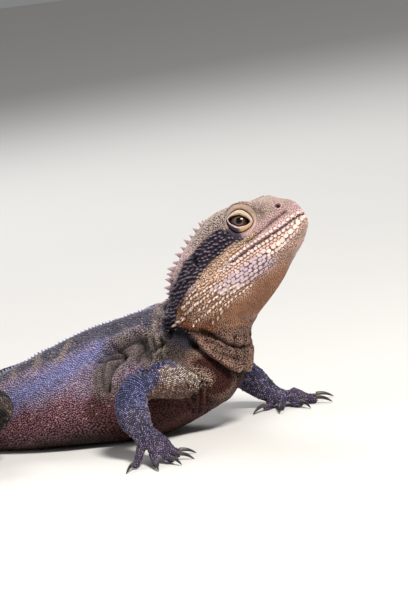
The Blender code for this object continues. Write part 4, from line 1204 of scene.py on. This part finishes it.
# Spacing in mm, form, height in mm and length over width, for each kind of hide
coatKinds = {
    "crown": (0.66, "granule", 0.30, 1.1), "snout": (0.74, "granule", 0.24, 1.2),
    "brow": (0.95, "keeled", 0.5, 1.3), "temple": (0.74, "granule", 0.42, 1.1),
    "plates": (0.9, "plate", 0.32, 1.2), "throat": (0.74, "granule", 0.24, 1.3),
    "bag": (0.86, "granule", 0.28, 1.25), "darkBand": (1.65, "spiny", 1.6, 1.0),
    "neck": (0.92, "keeled", 0.38, 1.2), "pleat": (0.72, "granule", 0.13, 1.3),
    "neckTop": (1.0, "keeled", 0.6, 1.2), "back": (0.92, "keeled", 0.34, 1.25),
    "flank": (0.88, "keeled", 0.28, 1.2), "belly": (1.2, "belly", 0.26, 1.05),
    "tail": (1.25, "keeled", 0.42, 1.35), "arm": (0.98, "beaded", 0.42, 1.15),
    "leg": (1.05, "beaded", 0.40, 1.15), "hand": (0.86, "beaded", 0.32, 1.15),
    "digit": (0.82, "beaded", 0.28, 1.2),
}
coatNames = list(coatKinds)
coatValues = {
    "tries": 5,  # places tried for each scale that is set
    "rowRoom": 0.82, "largeRoom": 0.35,  # what a scale in a row clears, and what is left round a large one
    "half": 0.64, "uneven": 0.24, "sunk": 0.45,
    "rowWidths": {"trunk": 1.3, "arm": 1.0, "leg": 1.08}, "rowsBegin": {"trunk": 248, "arm": 8, "leg": 8},
    "knobShare": 0.05, "knobGrows": (1.3, 1.3, 1.7), "knobTip": (190, 164, 150),
    "bakePatch": 0.003,
    "tailTip": 12,  # scales shrink over the last of the tail, in mm
}


def formPoints(rootRadius, upperRadius, shift, heights, top, _):
    turns = np.radians(np.arange(6) * 60)
    ring = np.stack([np.cos(turns), np.sin(turns)], axis=1)
    front, rear = heights
    lift = front + (rear - front) * (ring[:, 0] + 1) / 2
    root = np.column_stack([ring * rootRadius, np.full(6, -1.0)])
    upper = np.column_stack([ring * upperRadius + (shift, 0), lift])
    return np.vstack([root, upper, [(top[0], 0, top[1])]])


forms = np.array([formPoints(*form) for form in scaleForms.values()])
formFades = np.array([form[-1] for form in scaleForms.values()])
formNames = list(scaleForms)
formFaces = np.array([face for k in range(6) for face in (
    (k, (k + 1) % 6, 6 + (k + 1) % 6), (k, 6 + (k + 1) % 6, 6 + k), (6 + k, 6 + (k + 1) % 6, 12))])


def hideKinds(points, where):
    # each later kind takes its places from the earlier ones
    s, steep = where.along, where.steep
    back, out, rise = headCoords(points)
    lipRise = rise - keyed(headValues["lip"], back)
    kind = np.full(len(points), coatNames.index("flank"))

    def put(name, mask):
        kind[mask] = coatNames.index(name)

    trunk = where.trunk
    put("back", trunk & (steep < 62))
    put("belly", trunk & (steep > 122) & (s > 96))
    put("neck", trunk & (s < 104) & (steep < 100))
    put("bag", trunk & (s < 104) & (steep >= 100))
    put("pleat", trunk & (s > 60) & (strokeMask(points, "pleats") > 0.5))
    put("neckTop", trunk & (s > 48) & (s < 92) & (steep < 24))
    put("tail", trunk & (s > 246))
    head = trunk & (s < 68)
    put("crown", head)
    put("brow", head & (back > 12) & (back < 34) & (np.abs(out) > 10.5) & (rise > 20))
    put("snout", head & (back < 22) & (rise < 9))
    put("temple", head & (strokeMask(points, "temple") > 0.4))
    put("throat", head & (lipRise < 0))
    put("plates", head & (lipRise < 0) & (rise > -11) & (back < 62) & (np.abs(out) > 8))
    band = np.maximum.reduce([strokeMask(points, name) for name in darkStrokes])
    put("darkBand", trunk & (band > 0.45) & (steep > 22))
    put("arm", where.named("arm"))
    put("leg", where.named("leg"))
    put("hand", where.named("arm") & (s > 86))
    put("digit", where.named("hand", "foot"))
    return kind


def bare(points):
    # left without scales: inside the lids, the mouth's line, the nostrils and the ears
    off = np.abs(mouthGap(points)) < 0.6
    for side in sideOf:
        off |= lidShare(points, side) < 0.9
        for name in ("nostril", "ear"):
            near = holeGap(points, name, side) < headValues[name + "Radius"] * 1.2
            off |= near & (headCoords(points)[0] < 70)
    return off


def candidates(mesh):
    mesh.calc_loop_triangles()
    corners = meshRows(mesh.loop_triangles, "vertices", kind=np.int32)
    points, normals = meshPoints(mesh), meshNormals(mesh)
    a, b, c = (points[corners[:, k]] for k in range(3))
    area = np.linalg.norm(np.cross(b - a, c - a), axis=1) / 2
    middle = (a + b + c) / 3
    spacing = np.array([v[0] for v in coatKinds.values()])[hideKinds(middle, Place(middle))]
    wanted = area / spacing ** 2 * coatValues["tries"]
    count = np.floor(wanted + chance.random(len(wanted))).astype(int)
    face = np.repeat(np.arange(len(area)), count)
    u, v = chance.random(len(face)), chance.random(len(face))
    flip = u + v > 1
    u[flip], v[flip] = 1 - u[flip], 1 - v[flip]
    u, v = u[:, None], v[:, None]
    place = a[face] * (1 - u - v) + b[face] * u + c[face] * v
    n = [normals[corners[face, k]] for k in range(3)]
    return place, unit(n[0] * (1 - u - v) + n[1] * u + n[2] * v)


def settle(points, spacing, order, taken, first):
    # an advancing front: each scale in turn clears its own room
    tree = pointTree(points)
    free = np.ones(len(points), bool)
    for p, radius in taken:
        for _, k, _ in tree.find_range(p, radius):
            free[k] = False
    kept = []
    for k in order:
        if free[k]:
            kept.append(k)
            room = spacing[k] * (coatValues["rowRoom"] if k < first else 1.0)
            for _, j, _ in tree.find_range(points[k], room):
                free[j] = False
    return np.array(kept)


def rowPlaces(tree):
    # scales of the trunk, tail and limbs stand in rows round them, each row half a scale further round
    points, normals = [], []
    width = coatValues["rowWidths"]
    for line in lines:
        kind = line.name.split("_")[0]
        if kind not in width:
            continue
        rows = np.arange(coatValues["rowsBegin"][kind], line.along[-1] - 3, width[kind] * 1.02)
        for number, s in enumerate(rows):
            middle, back, up = (line.at(values, s) for values in (line.points, line.back, line.up))
            left = np.cross(up, -back)
            girth = float(np.interp(s, line.along, line.girth))
            count = max(6, int(2 * math.pi * girth / width[kind]))
            for k in range(count):
                turn = 2 * math.pi * (k + 0.5 * (number % 2)) / count
                way = up * math.cos(turn) + left * math.sin(turn)
                hit = rayHit(tree, middle, way, 0.06)
                if hit:
                    points.append(hit[0])
                    normals.append(hit[1])
    return np.array(points), np.array(normals)


def bakePlaces(where):
    # the skin unwrapped by its own shape: along each part and round it
    ends = np.array([line.along[-1] for line in lines])[where.part]
    along = np.clip(where.along / ends, 0, 1)
    around = (where.angle + 180) / 360
    digit = (where.part - 1) % 6
    limb = ~where.trunk
    around = np.where(limb & (digit == 0), around * 0.48, around)
    around = np.where(limb & (digit > 0), 0.5 + (digit - 1) * 0.1 + around * 0.095, around)
    return np.stack([along, around], axis=1)


def joinedForms(name, rows, fade=None, shapes=forms, faces=formFaces):
    # one mesh of many forms, from rows of place, normal, lie, sizes, form, ground, tip and place on the bake
    # map, where the sizes are half length, half width and height in mm
    roots, normals, lie, sizes, kinds, ground, tip, places = rows
    fades = formFades[kinds] if fade is None else np.full(len(kinds), fade)
    count, each = len(roots), shapes.shape[1]
    along = unit(lie - normals * (lie * normals).sum(1)[:, None])
    across = np.cross(normals, along)
    local = shapes[kinds]
    lift = local[:, :, 2:] * np.where(local[:, :, 2:] < 0, coatValues["sunk"], sizes[:, None, 2:])
    points = (roots[:, None] + along[:, None] * (local[:, :, :1] * sizes[:, None, :1])
              + across[:, None] * (local[:, :, 1:2] * sizes[:, None, 1:2]) + normals[:, None] * lift)
    points = points.reshape(-1, 3)
    points[:, 2] = np.maximum(points[:, 2], 0.0)
    # the colour runs from the ground at the sunk root to the tip at the top: partly the scales' own paler
    # middles, partly painted highlight on the raised middles and painted shade down between the scales
    height = np.clip(local[:, :, 2:], 0, 1) ** fades[:, None, None]
    colour = blend(ground[:, None], tip[:, None], height).reshape(-1, 3)
    corners = (np.arange(count)[:, None, None] * each + faces[None]).reshape(-1)
    mesh = bpy.data.meshes.new(name)
    mesh.vertices.add(count * each)
    mesh.vertices.foreach_set("co", (points / 1000).ravel())
    mesh.loops.add(len(corners))
    mesh.loops.foreach_set("vertex_index", corners)
    mesh.polygons.add(len(corners) // 3)
    mesh.polygons.foreach_set("loop_start", np.arange(0, len(corners), 3))
    mesh.update(calc_edges=True)
    mesh.shade_smooth()
    ends = meshRows(mesh.edges, "vertices", 2, np.int32)
    crisp = (kinds[ends[:, 0] // each] == formNames.index("plate")) & ((ends % each) // 6 == 1).all(axis=1)
    mesh.attributes.new("sharp_edge", "BOOLEAN", "EDGE").data.foreach_set("value", crisp)
    writeHue(mesh, colour)
    span = np.maximum(places.max(0) - places.min(0), 1e-6)
    spread = 0.01 + 0.98 * (places - places.min(0)) / span
    patch = spread[:, None] + local[:, :, :2] * coatValues["bakePatch"] * 0.45
    mesh.uv_layers.new(name="OFBake")
    mesh.uv_layers["OFBake"].data.foreach_set("uv", patch.reshape(-1, 2)[corners].ravel())
    piece = bpy.data.objects.new(name, mesh)
    bpy.context.scene.collection.objects.link(piece)
    mesh.materials.append(scale)
    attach(piece, "root")


def sideHit(tree, back, sign, rise):
    return rayHit(tree, headPlace(back, 60 * sign, rise), -headLeft * sign)


# Rows of knobs and points, as pixels: step in mm, half length, half width and height, form and marking
pointRows = [
    # the lower lip's shields
    ([(301.7, 218.3), (296.7, 225), (288.3, 233.3), (279.2, 242.5), (270, 249.2), (263, 252.5)], 2.9,
     (1.6, 1.25, 0.6), "plate", "lowerLip"),
    ([(297, 232), (288, 241), (279, 249), (269, 256)], 2.2, (1.15, 0.9, 0.36), "plate", "lowerLip"),
    # rows of beads from the jaw's corner, with the points that end them
    ([(215, 283), (201.7, 291.7), (190, 300), (181.7, 308)], 2.7, (1.45, 0.74, 0.9), "keeled", "bead"),
    ([(225, 285), (211.7, 293.3), (198, 302.5), (187.5, 312.5)], 2.7, (1.5, 0.78, 1.0), "keeled", "bead"),
    ([(235, 285), (221.7, 293.3), (210, 301.7), (200, 310)], 2.7, (1.4, 0.72, 0.9), "keeled", "bead"),
    ([(243.3, 285), (231.7, 293.3), (220, 301.7), (210, 310)], 2.7, (1.4, 0.72, 0.9), "keeled", "bead"),
    ([(251.7, 285), (241.7, 293.3), (230, 301.7), (221.7, 309)], 2.7, (1.3, 0.66, 0.75), "keeled", "bead"),
    ([(207, 281), (196, 289), (187, 298)], 2.7, (1.15, 0.6, 0.9), "keeled", "bead"),
    ([(228.3, 306.7), (220, 314.2), (212.5, 323.3)], 5.4, (2.1, 1.1, 1.2), "spiny", "bead"),
    ([(192, 310), (187.5, 312.5), (182, 317)], 3.6, (1.5, 1.0, 1.5), "spiny", "bead"),
    ([(184, 319), (179, 322), (174.2, 325)], 4.2, (1.5, 1.15, 2.8), "spiny", "bead"),
    ([(208, 312), (200, 318), (193, 325)], 3.2, (1.1, 0.6, 0.7), "keeled", "bead"),
    # the pale band behind the eye, and the points of the dark band
    ([(235, 243), (224, 251), (214, 260), (205, 269)], 3.0, (1.2, 0.7, 1.0), "spiny", "yellowBand"),
    ([(246, 243), (234, 252), (222, 262), (211, 272)], 2.8, (1.3, 0.6, 0.6), "keeled", "yellowBand"),
    ([(186, 262), (180, 274), (175, 288), (172, 302)], 3.2, (1.3, 1.0, 2.3), "spiny", "darkBand"),
    ([(201, 246), (193, 255), (186, 266)], 3.2, (1.2, 0.95, 1.9), "spiny", "darkBand"),
    ([(192, 277), (185, 290), (180, 304)], 3.4, (1.2, 0.95, 1.7), "spiny", "darkBand"),
    ([(212, 241), (205, 249), (198, 259), (192, 269)], 3.0, (1.1, 0.85, 1.6), "spiny", "darkBand"),
]


# Shields on the lips and rows of plates below them: how many rows, how many in each, the first one's place
# behind the snout, the step and the odd rows' shift, then how far the rows lie below the mouth's line and
# from each other, and a form's sizes, all but the counts in mm
jawRows = {
    "shields": (18, 2.15, (1.12, 0.85, 0.34)),
    "plates": (5, 19, 5, 2.7, 1.35, 5.6, 1.6, (1.5, 0.98, 0.27)),
    "chin": (2, 26, 3, 1.9, 0.95, 3.1, 1.25, (0.98, 0.66, 0.3)),
}


def largeScales(tree):
    # the shields of the lips, the plates of the jaw, the rings round the nostrils and the rows of points,
    # each as place, normal, sizes, form and marking
    rows = []
    lip = headValues["lip"]
    for sign in (-1, 1):
        count, step, sizes = jawRows["shields"]
        for k in range(count):
            for name, offset, start in (("lip", 1.5, 1.0), ("lowerLip", -1.55, 0.4)):
                back = start + k * step
                hit = sideHit(tree, back, sign, float(keyed(lip, back)) + offset)
                if hit:
                    rows.append((*hit, sizes, "plate", name))
        rowCount, count, start, step, odd, below, apart, sizes = jawRows["plates"]
        for row in range(rowCount):
            for k in range(count):
                back = start + k * step + (row % 2) * odd
                rise = float(keyed(lip, back)) - below - row * apart
                shift = (chance.random(2) - 0.5) * (0.9, 0.5)
                hit = sideHit(tree, back + shift[0], sign, rise + shift[1])
                if hit and 23 - row < back < 56 - row * 2 and abs((hit[0] - snout) @ headLeft) > 8:
                    rows.append((*hit, sizes, "plate", "plates"))
        rowCount, count, start, step, odd, below, apart, sizes = jawRows["chin"]
        for row in range(rowCount):
            for k in range(count):
                back = start + k * step + (row % 2) * odd
                hit = sideHit(tree, back, sign, float(keyed(lip, back)) - below - row * apart)
                if hit and back < 46:
                    rows.append((*hit, sizes, "plate", "chin"))
    for side in sideOf:
        middle, axis = holeAxis("nostril", side)
        across = unit(np.cross(axis, headUp))
        for k in range(10):
            way = across * math.cos(k * math.pi / 5) + np.cross(across, axis) * math.sin(k * math.pi / 5)
            hit = rayHit(tree, middle + way * headValues["nostrilRadius"] * 1.5 + axis * 5, -axis)
            rows.append((*hit, (0.64, 0.54, 0.42), "granule", "snoutSide"))
    for pixels, step, sizes, form, name in pointRows:
        line = evenLine(seenAt(pixels), step, 0)
        for p in np.vstack([line, mirroredPoints(line)]):
            place, normal = tree.find_nearest(Vector((p + (chance.random(3) - 0.5) * 0.9) / 1000))[:2]
            rows.append((np.array(place) * 1000, np.array(normal), sizes, form, name))
    return rows


def ofKind(column, kinds):
    return np.array([row[column] for row in coatKinds.values()])[kinds]


def among(kinds, *names):
    return np.isin(kinds, [coatNames.index(name) for name in names])


def settledPlaces(tree):
    # where the scales stand: those in rows come first, then the scattered ones
    inRows, rowNormals = rowPlaces(tree)
    keep = ~bare(inRows)
    inRows, rowNormals = inRows[keep], rowNormals[keep]
    points, normals = candidates(skin.data)
    keep = ~bare(points)
    points, normals = np.vstack([inRows, points[keep]]), np.vstack([rowNormals, normals[keep]])
    where = Place(points)
    kinds = hideKinds(points, where)
    spacing = ofKind(0, kinds)
    front = where.part * 10000 + where.along + chance.random(len(points)) * spacing * 0.5
    front[len(inRows):] += 1e6
    large = largeScales(tree)
    taken = [(row[0], (row[2][0] + row[2][1]) * 0.5 + coatValues["largeRoom"]) for row in large]
    kept = settle(points, spacing, np.argsort(front, kind="stable").tolist(), taken, len(inRows))
    print("places for scales:", len(kept), "and", len(large), "large ones")
    return points[kept], normals[kept], kinds[kept], large


def smallRows(roots, normals, kinds):
    where = Place(roots)
    ground, tip = hideColours(roots)
    vary = 1 + (chance.random(len(roots)) - 0.5) * coatValues["uneven"]
    half, stretch = ofKind(0, kinds) * coatValues["half"] * vary, np.sqrt(ofKind(3, kinds))
    sizes = np.stack([half * stretch, half / stretch, ofKind(2, kinds) * vary], axis=1)
    knob = among(kinds, "flank", "back", "neck", "arm", "leg")
    knob &= chance.random(len(roots)) < coatValues["knobShare"]
    sizes[knob] *= coatValues["knobGrows"]
    toTip = np.clip((spine.along[-1] - where.along) / coatValues["tailTip"], 0.3, 1)
    sizes *= np.where(where.trunk, toTip, 1)[:, None]
    tint = 1 + (chance.random((len(roots), 1)) - 0.5) * 0.6
    quiet = among(kinds, "throat", "snout", "pleat", "bag")[:, None]
    sparse = 0.4 + 1.8 * ((tint - 0.7) / 0.6) ** 2.2
    tip = tip * np.where(where.trunk[:, None], np.where(quiet, 1 + (tint - 1) * 0.4, tint), sparse)
    tip[knob] = blend(tip[knob], linear(coatValues["knobTip"]), 0.4)
    thorn = among(kinds, "darkBand")
    sizes[thorn, 2] *= 0.75 + 0.6 * chance.random(int(thorn.sum()))
    form = np.array([formNames.index(row[1]) for row in coatKinds.values()])[kinds]
    return roots, normals, where.back, sizes, form, ground, tip


def largeRows(large):
    roots, normals, sizes = (np.array([row[k] for row in large]) for k in range(3))
    sizes = sizes * (1 + (chance.random((len(large), 3)) - 0.5) * 0.22)
    form = np.array([formNames.index(row[3]) for row in large])
    ground, tip = (np.array([linear(markings[row[4]][k]) for row in large]) for k in range(2))
    tip = tip * (1 + (chance.random((len(large), 1)) - 0.5) * 0.2)
    return roots, normals, Place(roots).back, sizes, form, ground, tip


def makeCoat():
    roots, normals, kinds, large = settledPlaces(surfaceTree(skin.data))
    rows = [np.concatenate(pair) for pair in zip(smallRows(roots, normals, kinds), largeRows(large))]
    where = Place(rows[0])
    rows.append(bakePlaces(where))
    s, limb = where.along, (where.part - 1) // 6
    parts = (("Head", -99, headEnd, "head_skin"), ("Neck", headEnd, neckEnd, "trunk_skin"),
             ("Trunk", neckEnd, trunkEnd, "trunk_skin"))
    groups = [(f"scales{part}{name}", where.trunk & (s >= low) & (s < high) & half, slotName)
              for part, low, high, slotName in parts
              for name, half in (("Right", where.out < 0), ("Left", where.out >= 0))]
    groups.append(("scalesTail", where.trunk & (s >= trunkEnd), "trunk_skin"))
    groups += [(f"scales{name}", ~where.trunk & (limb == k), "limb_skin")
               for k, name in enumerate(("ArmRight", "ArmLeft", "LegRight", "LegLeft"))]
    for name, chosen, slotName in groups:
        joinedForms(name, [values[chosen] for values in rows])
        print(name, int(chosen.sum()) * len(formFaces), "triangles")


makeCoat()

# Rows of fine scales ringing the eye: place as a share of the lid's width, and size; then the half length,
# half width and height in mm of a scale of size 1
lidRows = [(0.07, 0.65), (0.12, 0.7), (0.175, 0.75), (0.23, 0.8), (0.29, 0.8), (0.345, 0.75), (0.395, 0.6),
           (0.53, 0.75), (0.59, 0.9), (0.65, 0.95), (0.71, 0.95), (0.775, 0.95), (0.84, 0.9), (0.90, 0.85)]
lidScaleSizes = (0.50, 0.44, 0.16)


def makeLidScales(side):
    turns, shares, grows = [], [], []
    for row, (share, grow) in enumerate(lidRows):
        line = lidPoints(side, np.arange(49) * math.pi / 24, np.full(49, share))
        count = int(np.linalg.norm(np.diff(line, axis=0), axis=1).sum() / (0.82 * grow))
        turns += [2 * math.pi * (k + 0.5 * (row % 2)) / count for k in range(count)]
        shares += [share] * count
        grows += [grow] * count
    turn, share = np.array(turns), np.array(shares)
    grow = np.array(grows) * (0.9 + 0.2 * chance.random(len(turn)))
    roots = lidPoints(side, turn, share)
    lie = unit(lidPoints(side, turn + 0.03, share) - roots)
    slope = lidPoints(side, turn, np.minimum(share + 0.02, 1)) - roots
    normals = unit(np.cross(lie, slope))
    look = lidFrame(side)[0]
    normals *= np.sign(normals @ look + 1e-9)[:, None]
    ground, tip = lidHues(turn, share, roots)
    tip = tip * (0.85 + 0.3 * chance.random((len(turn), 1)))
    sizes = grow[:, None] * lidScaleSizes
    kinds = np.full(len(turn), formNames.index("granule"))
    places = np.stack([turn / (2 * math.pi), share], axis=1)
    rows = [roots, normals, lie, sizes, kinds, ground, tip, places]
    joinedForms(f"lidScales_{side}", rows, 0.6)


for side in sideOf:
    makeLidScales(side)
print("lids scaled")

# Crest: flattened, leaning points along the ridge from the nape to the tail
crestValues = {
    "height": [(50, 2.0), (54, 3.6), (60, 5.6), (68, 6.6), (82, 6.4), (90, 5.2), (98, 3.2), (112, 2.3),
               (250, 2.0), (420, 1.3), (600, 0.7)],
    "spacing": [(50, 1.9), (60, 2.2), (86, 2.2), (100, 2.1), (250, 2.3), (420, 2.8), (600, 2.6)],
    "ends": 600, "napeEnds": 96,
    "unevenSpacing": (0.6, 0.2), "unevenHeight": (0.45, 0.2),  # on the nape and behind it
    "length": 0.56, "lengthOfHeight": 0.36,
    "width": [(44, 0.85), (90, 0.95), (110, 0.7), (600, 0.4)],
    "nape": ((50, 38, 46), (192, 162, 164)), "ridge": ((40, 42, 62), (148, 157, 200)),
    "pale": ((110, 92, 74), (214, 200, 176)),
}


def crestForm():
    turns = np.radians(np.arange(8) * 45)
    rings = [(-1.0, 1.0, 0.0), (0.0, 1.0, 0.0), (0.35, 0.74, 0.10), (0.7, 0.42, 0.34), (0.92, 0.16, 0.58)]
    points = []
    for z, r, shift in rings:
        points += [(math.cos(t) * r + shift, math.sin(t) * r, z) for t in turns]
    points.append((0.74, 0, 1.0))
    faces = []
    for ring in range(len(rings) - 1):
        for k in range(8):
            a, b = ring * 8 + k, ring * 8 + (k + 1) % 8
            faces += [(a, b, b + 8), (a, b + 8, a + 8)]
    last = (len(rings) - 1) * 8
    faces += [(last + k, last + (k + 1) % 8, last + 8) for k in range(8)]
    return np.array([points]), np.array(faces)


def makeCrest():
    shapes, faces = crestForm()
    tree = surfaceTree(skin.data)
    s, rows = crestValues["height"][0][0], []
    while s < crestValues["ends"]:
        up, back = unit(spine.at(spine.up, s)), unit(spine.at(spine.back, s))
        hit = rayHit(tree, spine.at(spine.points, s) + up * 45, -up)
        uneven = crestValues["unevenSpacing"][s >= crestValues["napeEnds"]]
        spacing = float(keyed(crestValues["spacing"], s)) * (1 + (chance.random() - 0.5) * uneven)
        if hit:
            rows.append((hit[0], up, back, s, spacing))
        s += spacing
    roots, ups, backs = (np.array([row[k] for row in rows]) for k in range(3))
    s, spacing = np.array([row[3] for row in rows]), np.array([row[4] for row in rows])
    uneven = np.where(s < crestValues["napeEnds"], *crestValues["unevenHeight"])
    height = keyed(crestValues["height"], s) * (1 + (chance.random(len(s)) - 0.5) * uneven)
    sizes = np.stack([spacing * crestValues["length"], keyed(crestValues["width"], s), height], axis=1)
    sizes[:, 0] = np.maximum(sizes[:, 0], height * crestValues["lengthOfHeight"])
    onTrunk = eased(84, 100, s)[:, None]
    onBar = eased(0.20, 0.32, hideColours(roots)[1].mean(axis=1))[:, None] * onTrunk
    ground, tip = (blend(blend(linear(crestValues["nape"][k]), linear(crestValues["ridge"][k]), onTrunk),
                         linear(crestValues["pale"][k]), onBar) for k in range(2))
    tip = tip * (1 + (chance.random((len(s), 1)) - 0.5) * 0.3)
    leaning = backs * ((chance.random(len(s)) - 0.35) * 0.35)[:, None]
    ups = unit(ups + leaning + (chance.random((len(s), 3)) - 0.5) * 0.16)
    places = np.stack([s / crestValues["ends"], np.full(len(s), 0.5)], axis=1)
    rows = [roots, ups, backs, sizes, np.zeros(len(s), int), ground, tip, places]
    joinedForms("crest", rows, 0.8, shapes, faces)


makeCrest()
print("crest made")

# A plain pale studio
studioValues = {
    "floor": (0.72, 0.71, 0.69),
    "sky": (0.67, 0.67, 0.68), "skyStrength": 0.34,
    "key": {"place": (1.15, -0.75, 1.25), "size": 0.35, "power": 41, "colour": (1.0, 0.965, 0.915)},
    "fill": {"place": (-1.3, -1.1, 0.9), "size": 1.4, "power": 9, "colour": (1.0, 0.98, 0.96)},
    "rim": {"place": (-0.7, 1.2, 1.2), "size": 0.9, "power": 15, "colour": (0.98, 0.99, 1.0)},
    "aim": (0.2, 0, 0.05),
}


def makeStudio():
    bpy.ops.mesh.primitive_plane_add(size=8, location=(0, 0, 0))
    floor = bpy.context.object
    floor.name = floor.data.name = "paleFloor"
    material = newMaterial("palePaper")
    tree = material.node_tree
    shader = addNode(tree, "Shader", {"Roughness": 0.85})
    place = addNode(tree, "TexCoord")
    cloud = addNode(tree, "TexNoise", {"Scale": 3})
    ramp = addRamp(tree, (0, [c * 0.96 for c in studioValues["floor"]]), (1, studioValues["floor"]))
    wire(tree, (place, "Object", cloud, "Vector"), (cloud, "Fac", ramp, "Fac"),
         (ramp, "Color", shader, "Base Color"))
    floor.data.materials.append(material)
    world = bpy.data.worlds.new("studioAir")
    world.use_nodes = True
    air = world.node_tree.nodes["Background"].inputs
    air["Color"].default_value = (*studioValues["sky"], 1)
    air["Strength"].default_value = studioValues["skyStrength"]
    bpy.context.scene.world = world
    for name in ("key", "fill", "rim"):
        values = studioValues[name]
        place = Vector(values["place"])
        turn = (place - Vector(studioValues["aim"])).to_track_quat("Z", "Y").to_euler()
        bpy.ops.object.light_add(type="AREA", location=place, rotation=turn)
        light = bpy.context.object
        light.name = name + "Light"
        light.data.energy = values["power"]
        light.data.size = values["size"]
        light.data.color = values["colour"]
    bpy.context.scene.view_settings.view_transform = "Standard"


makeStudio()
print("studio set")
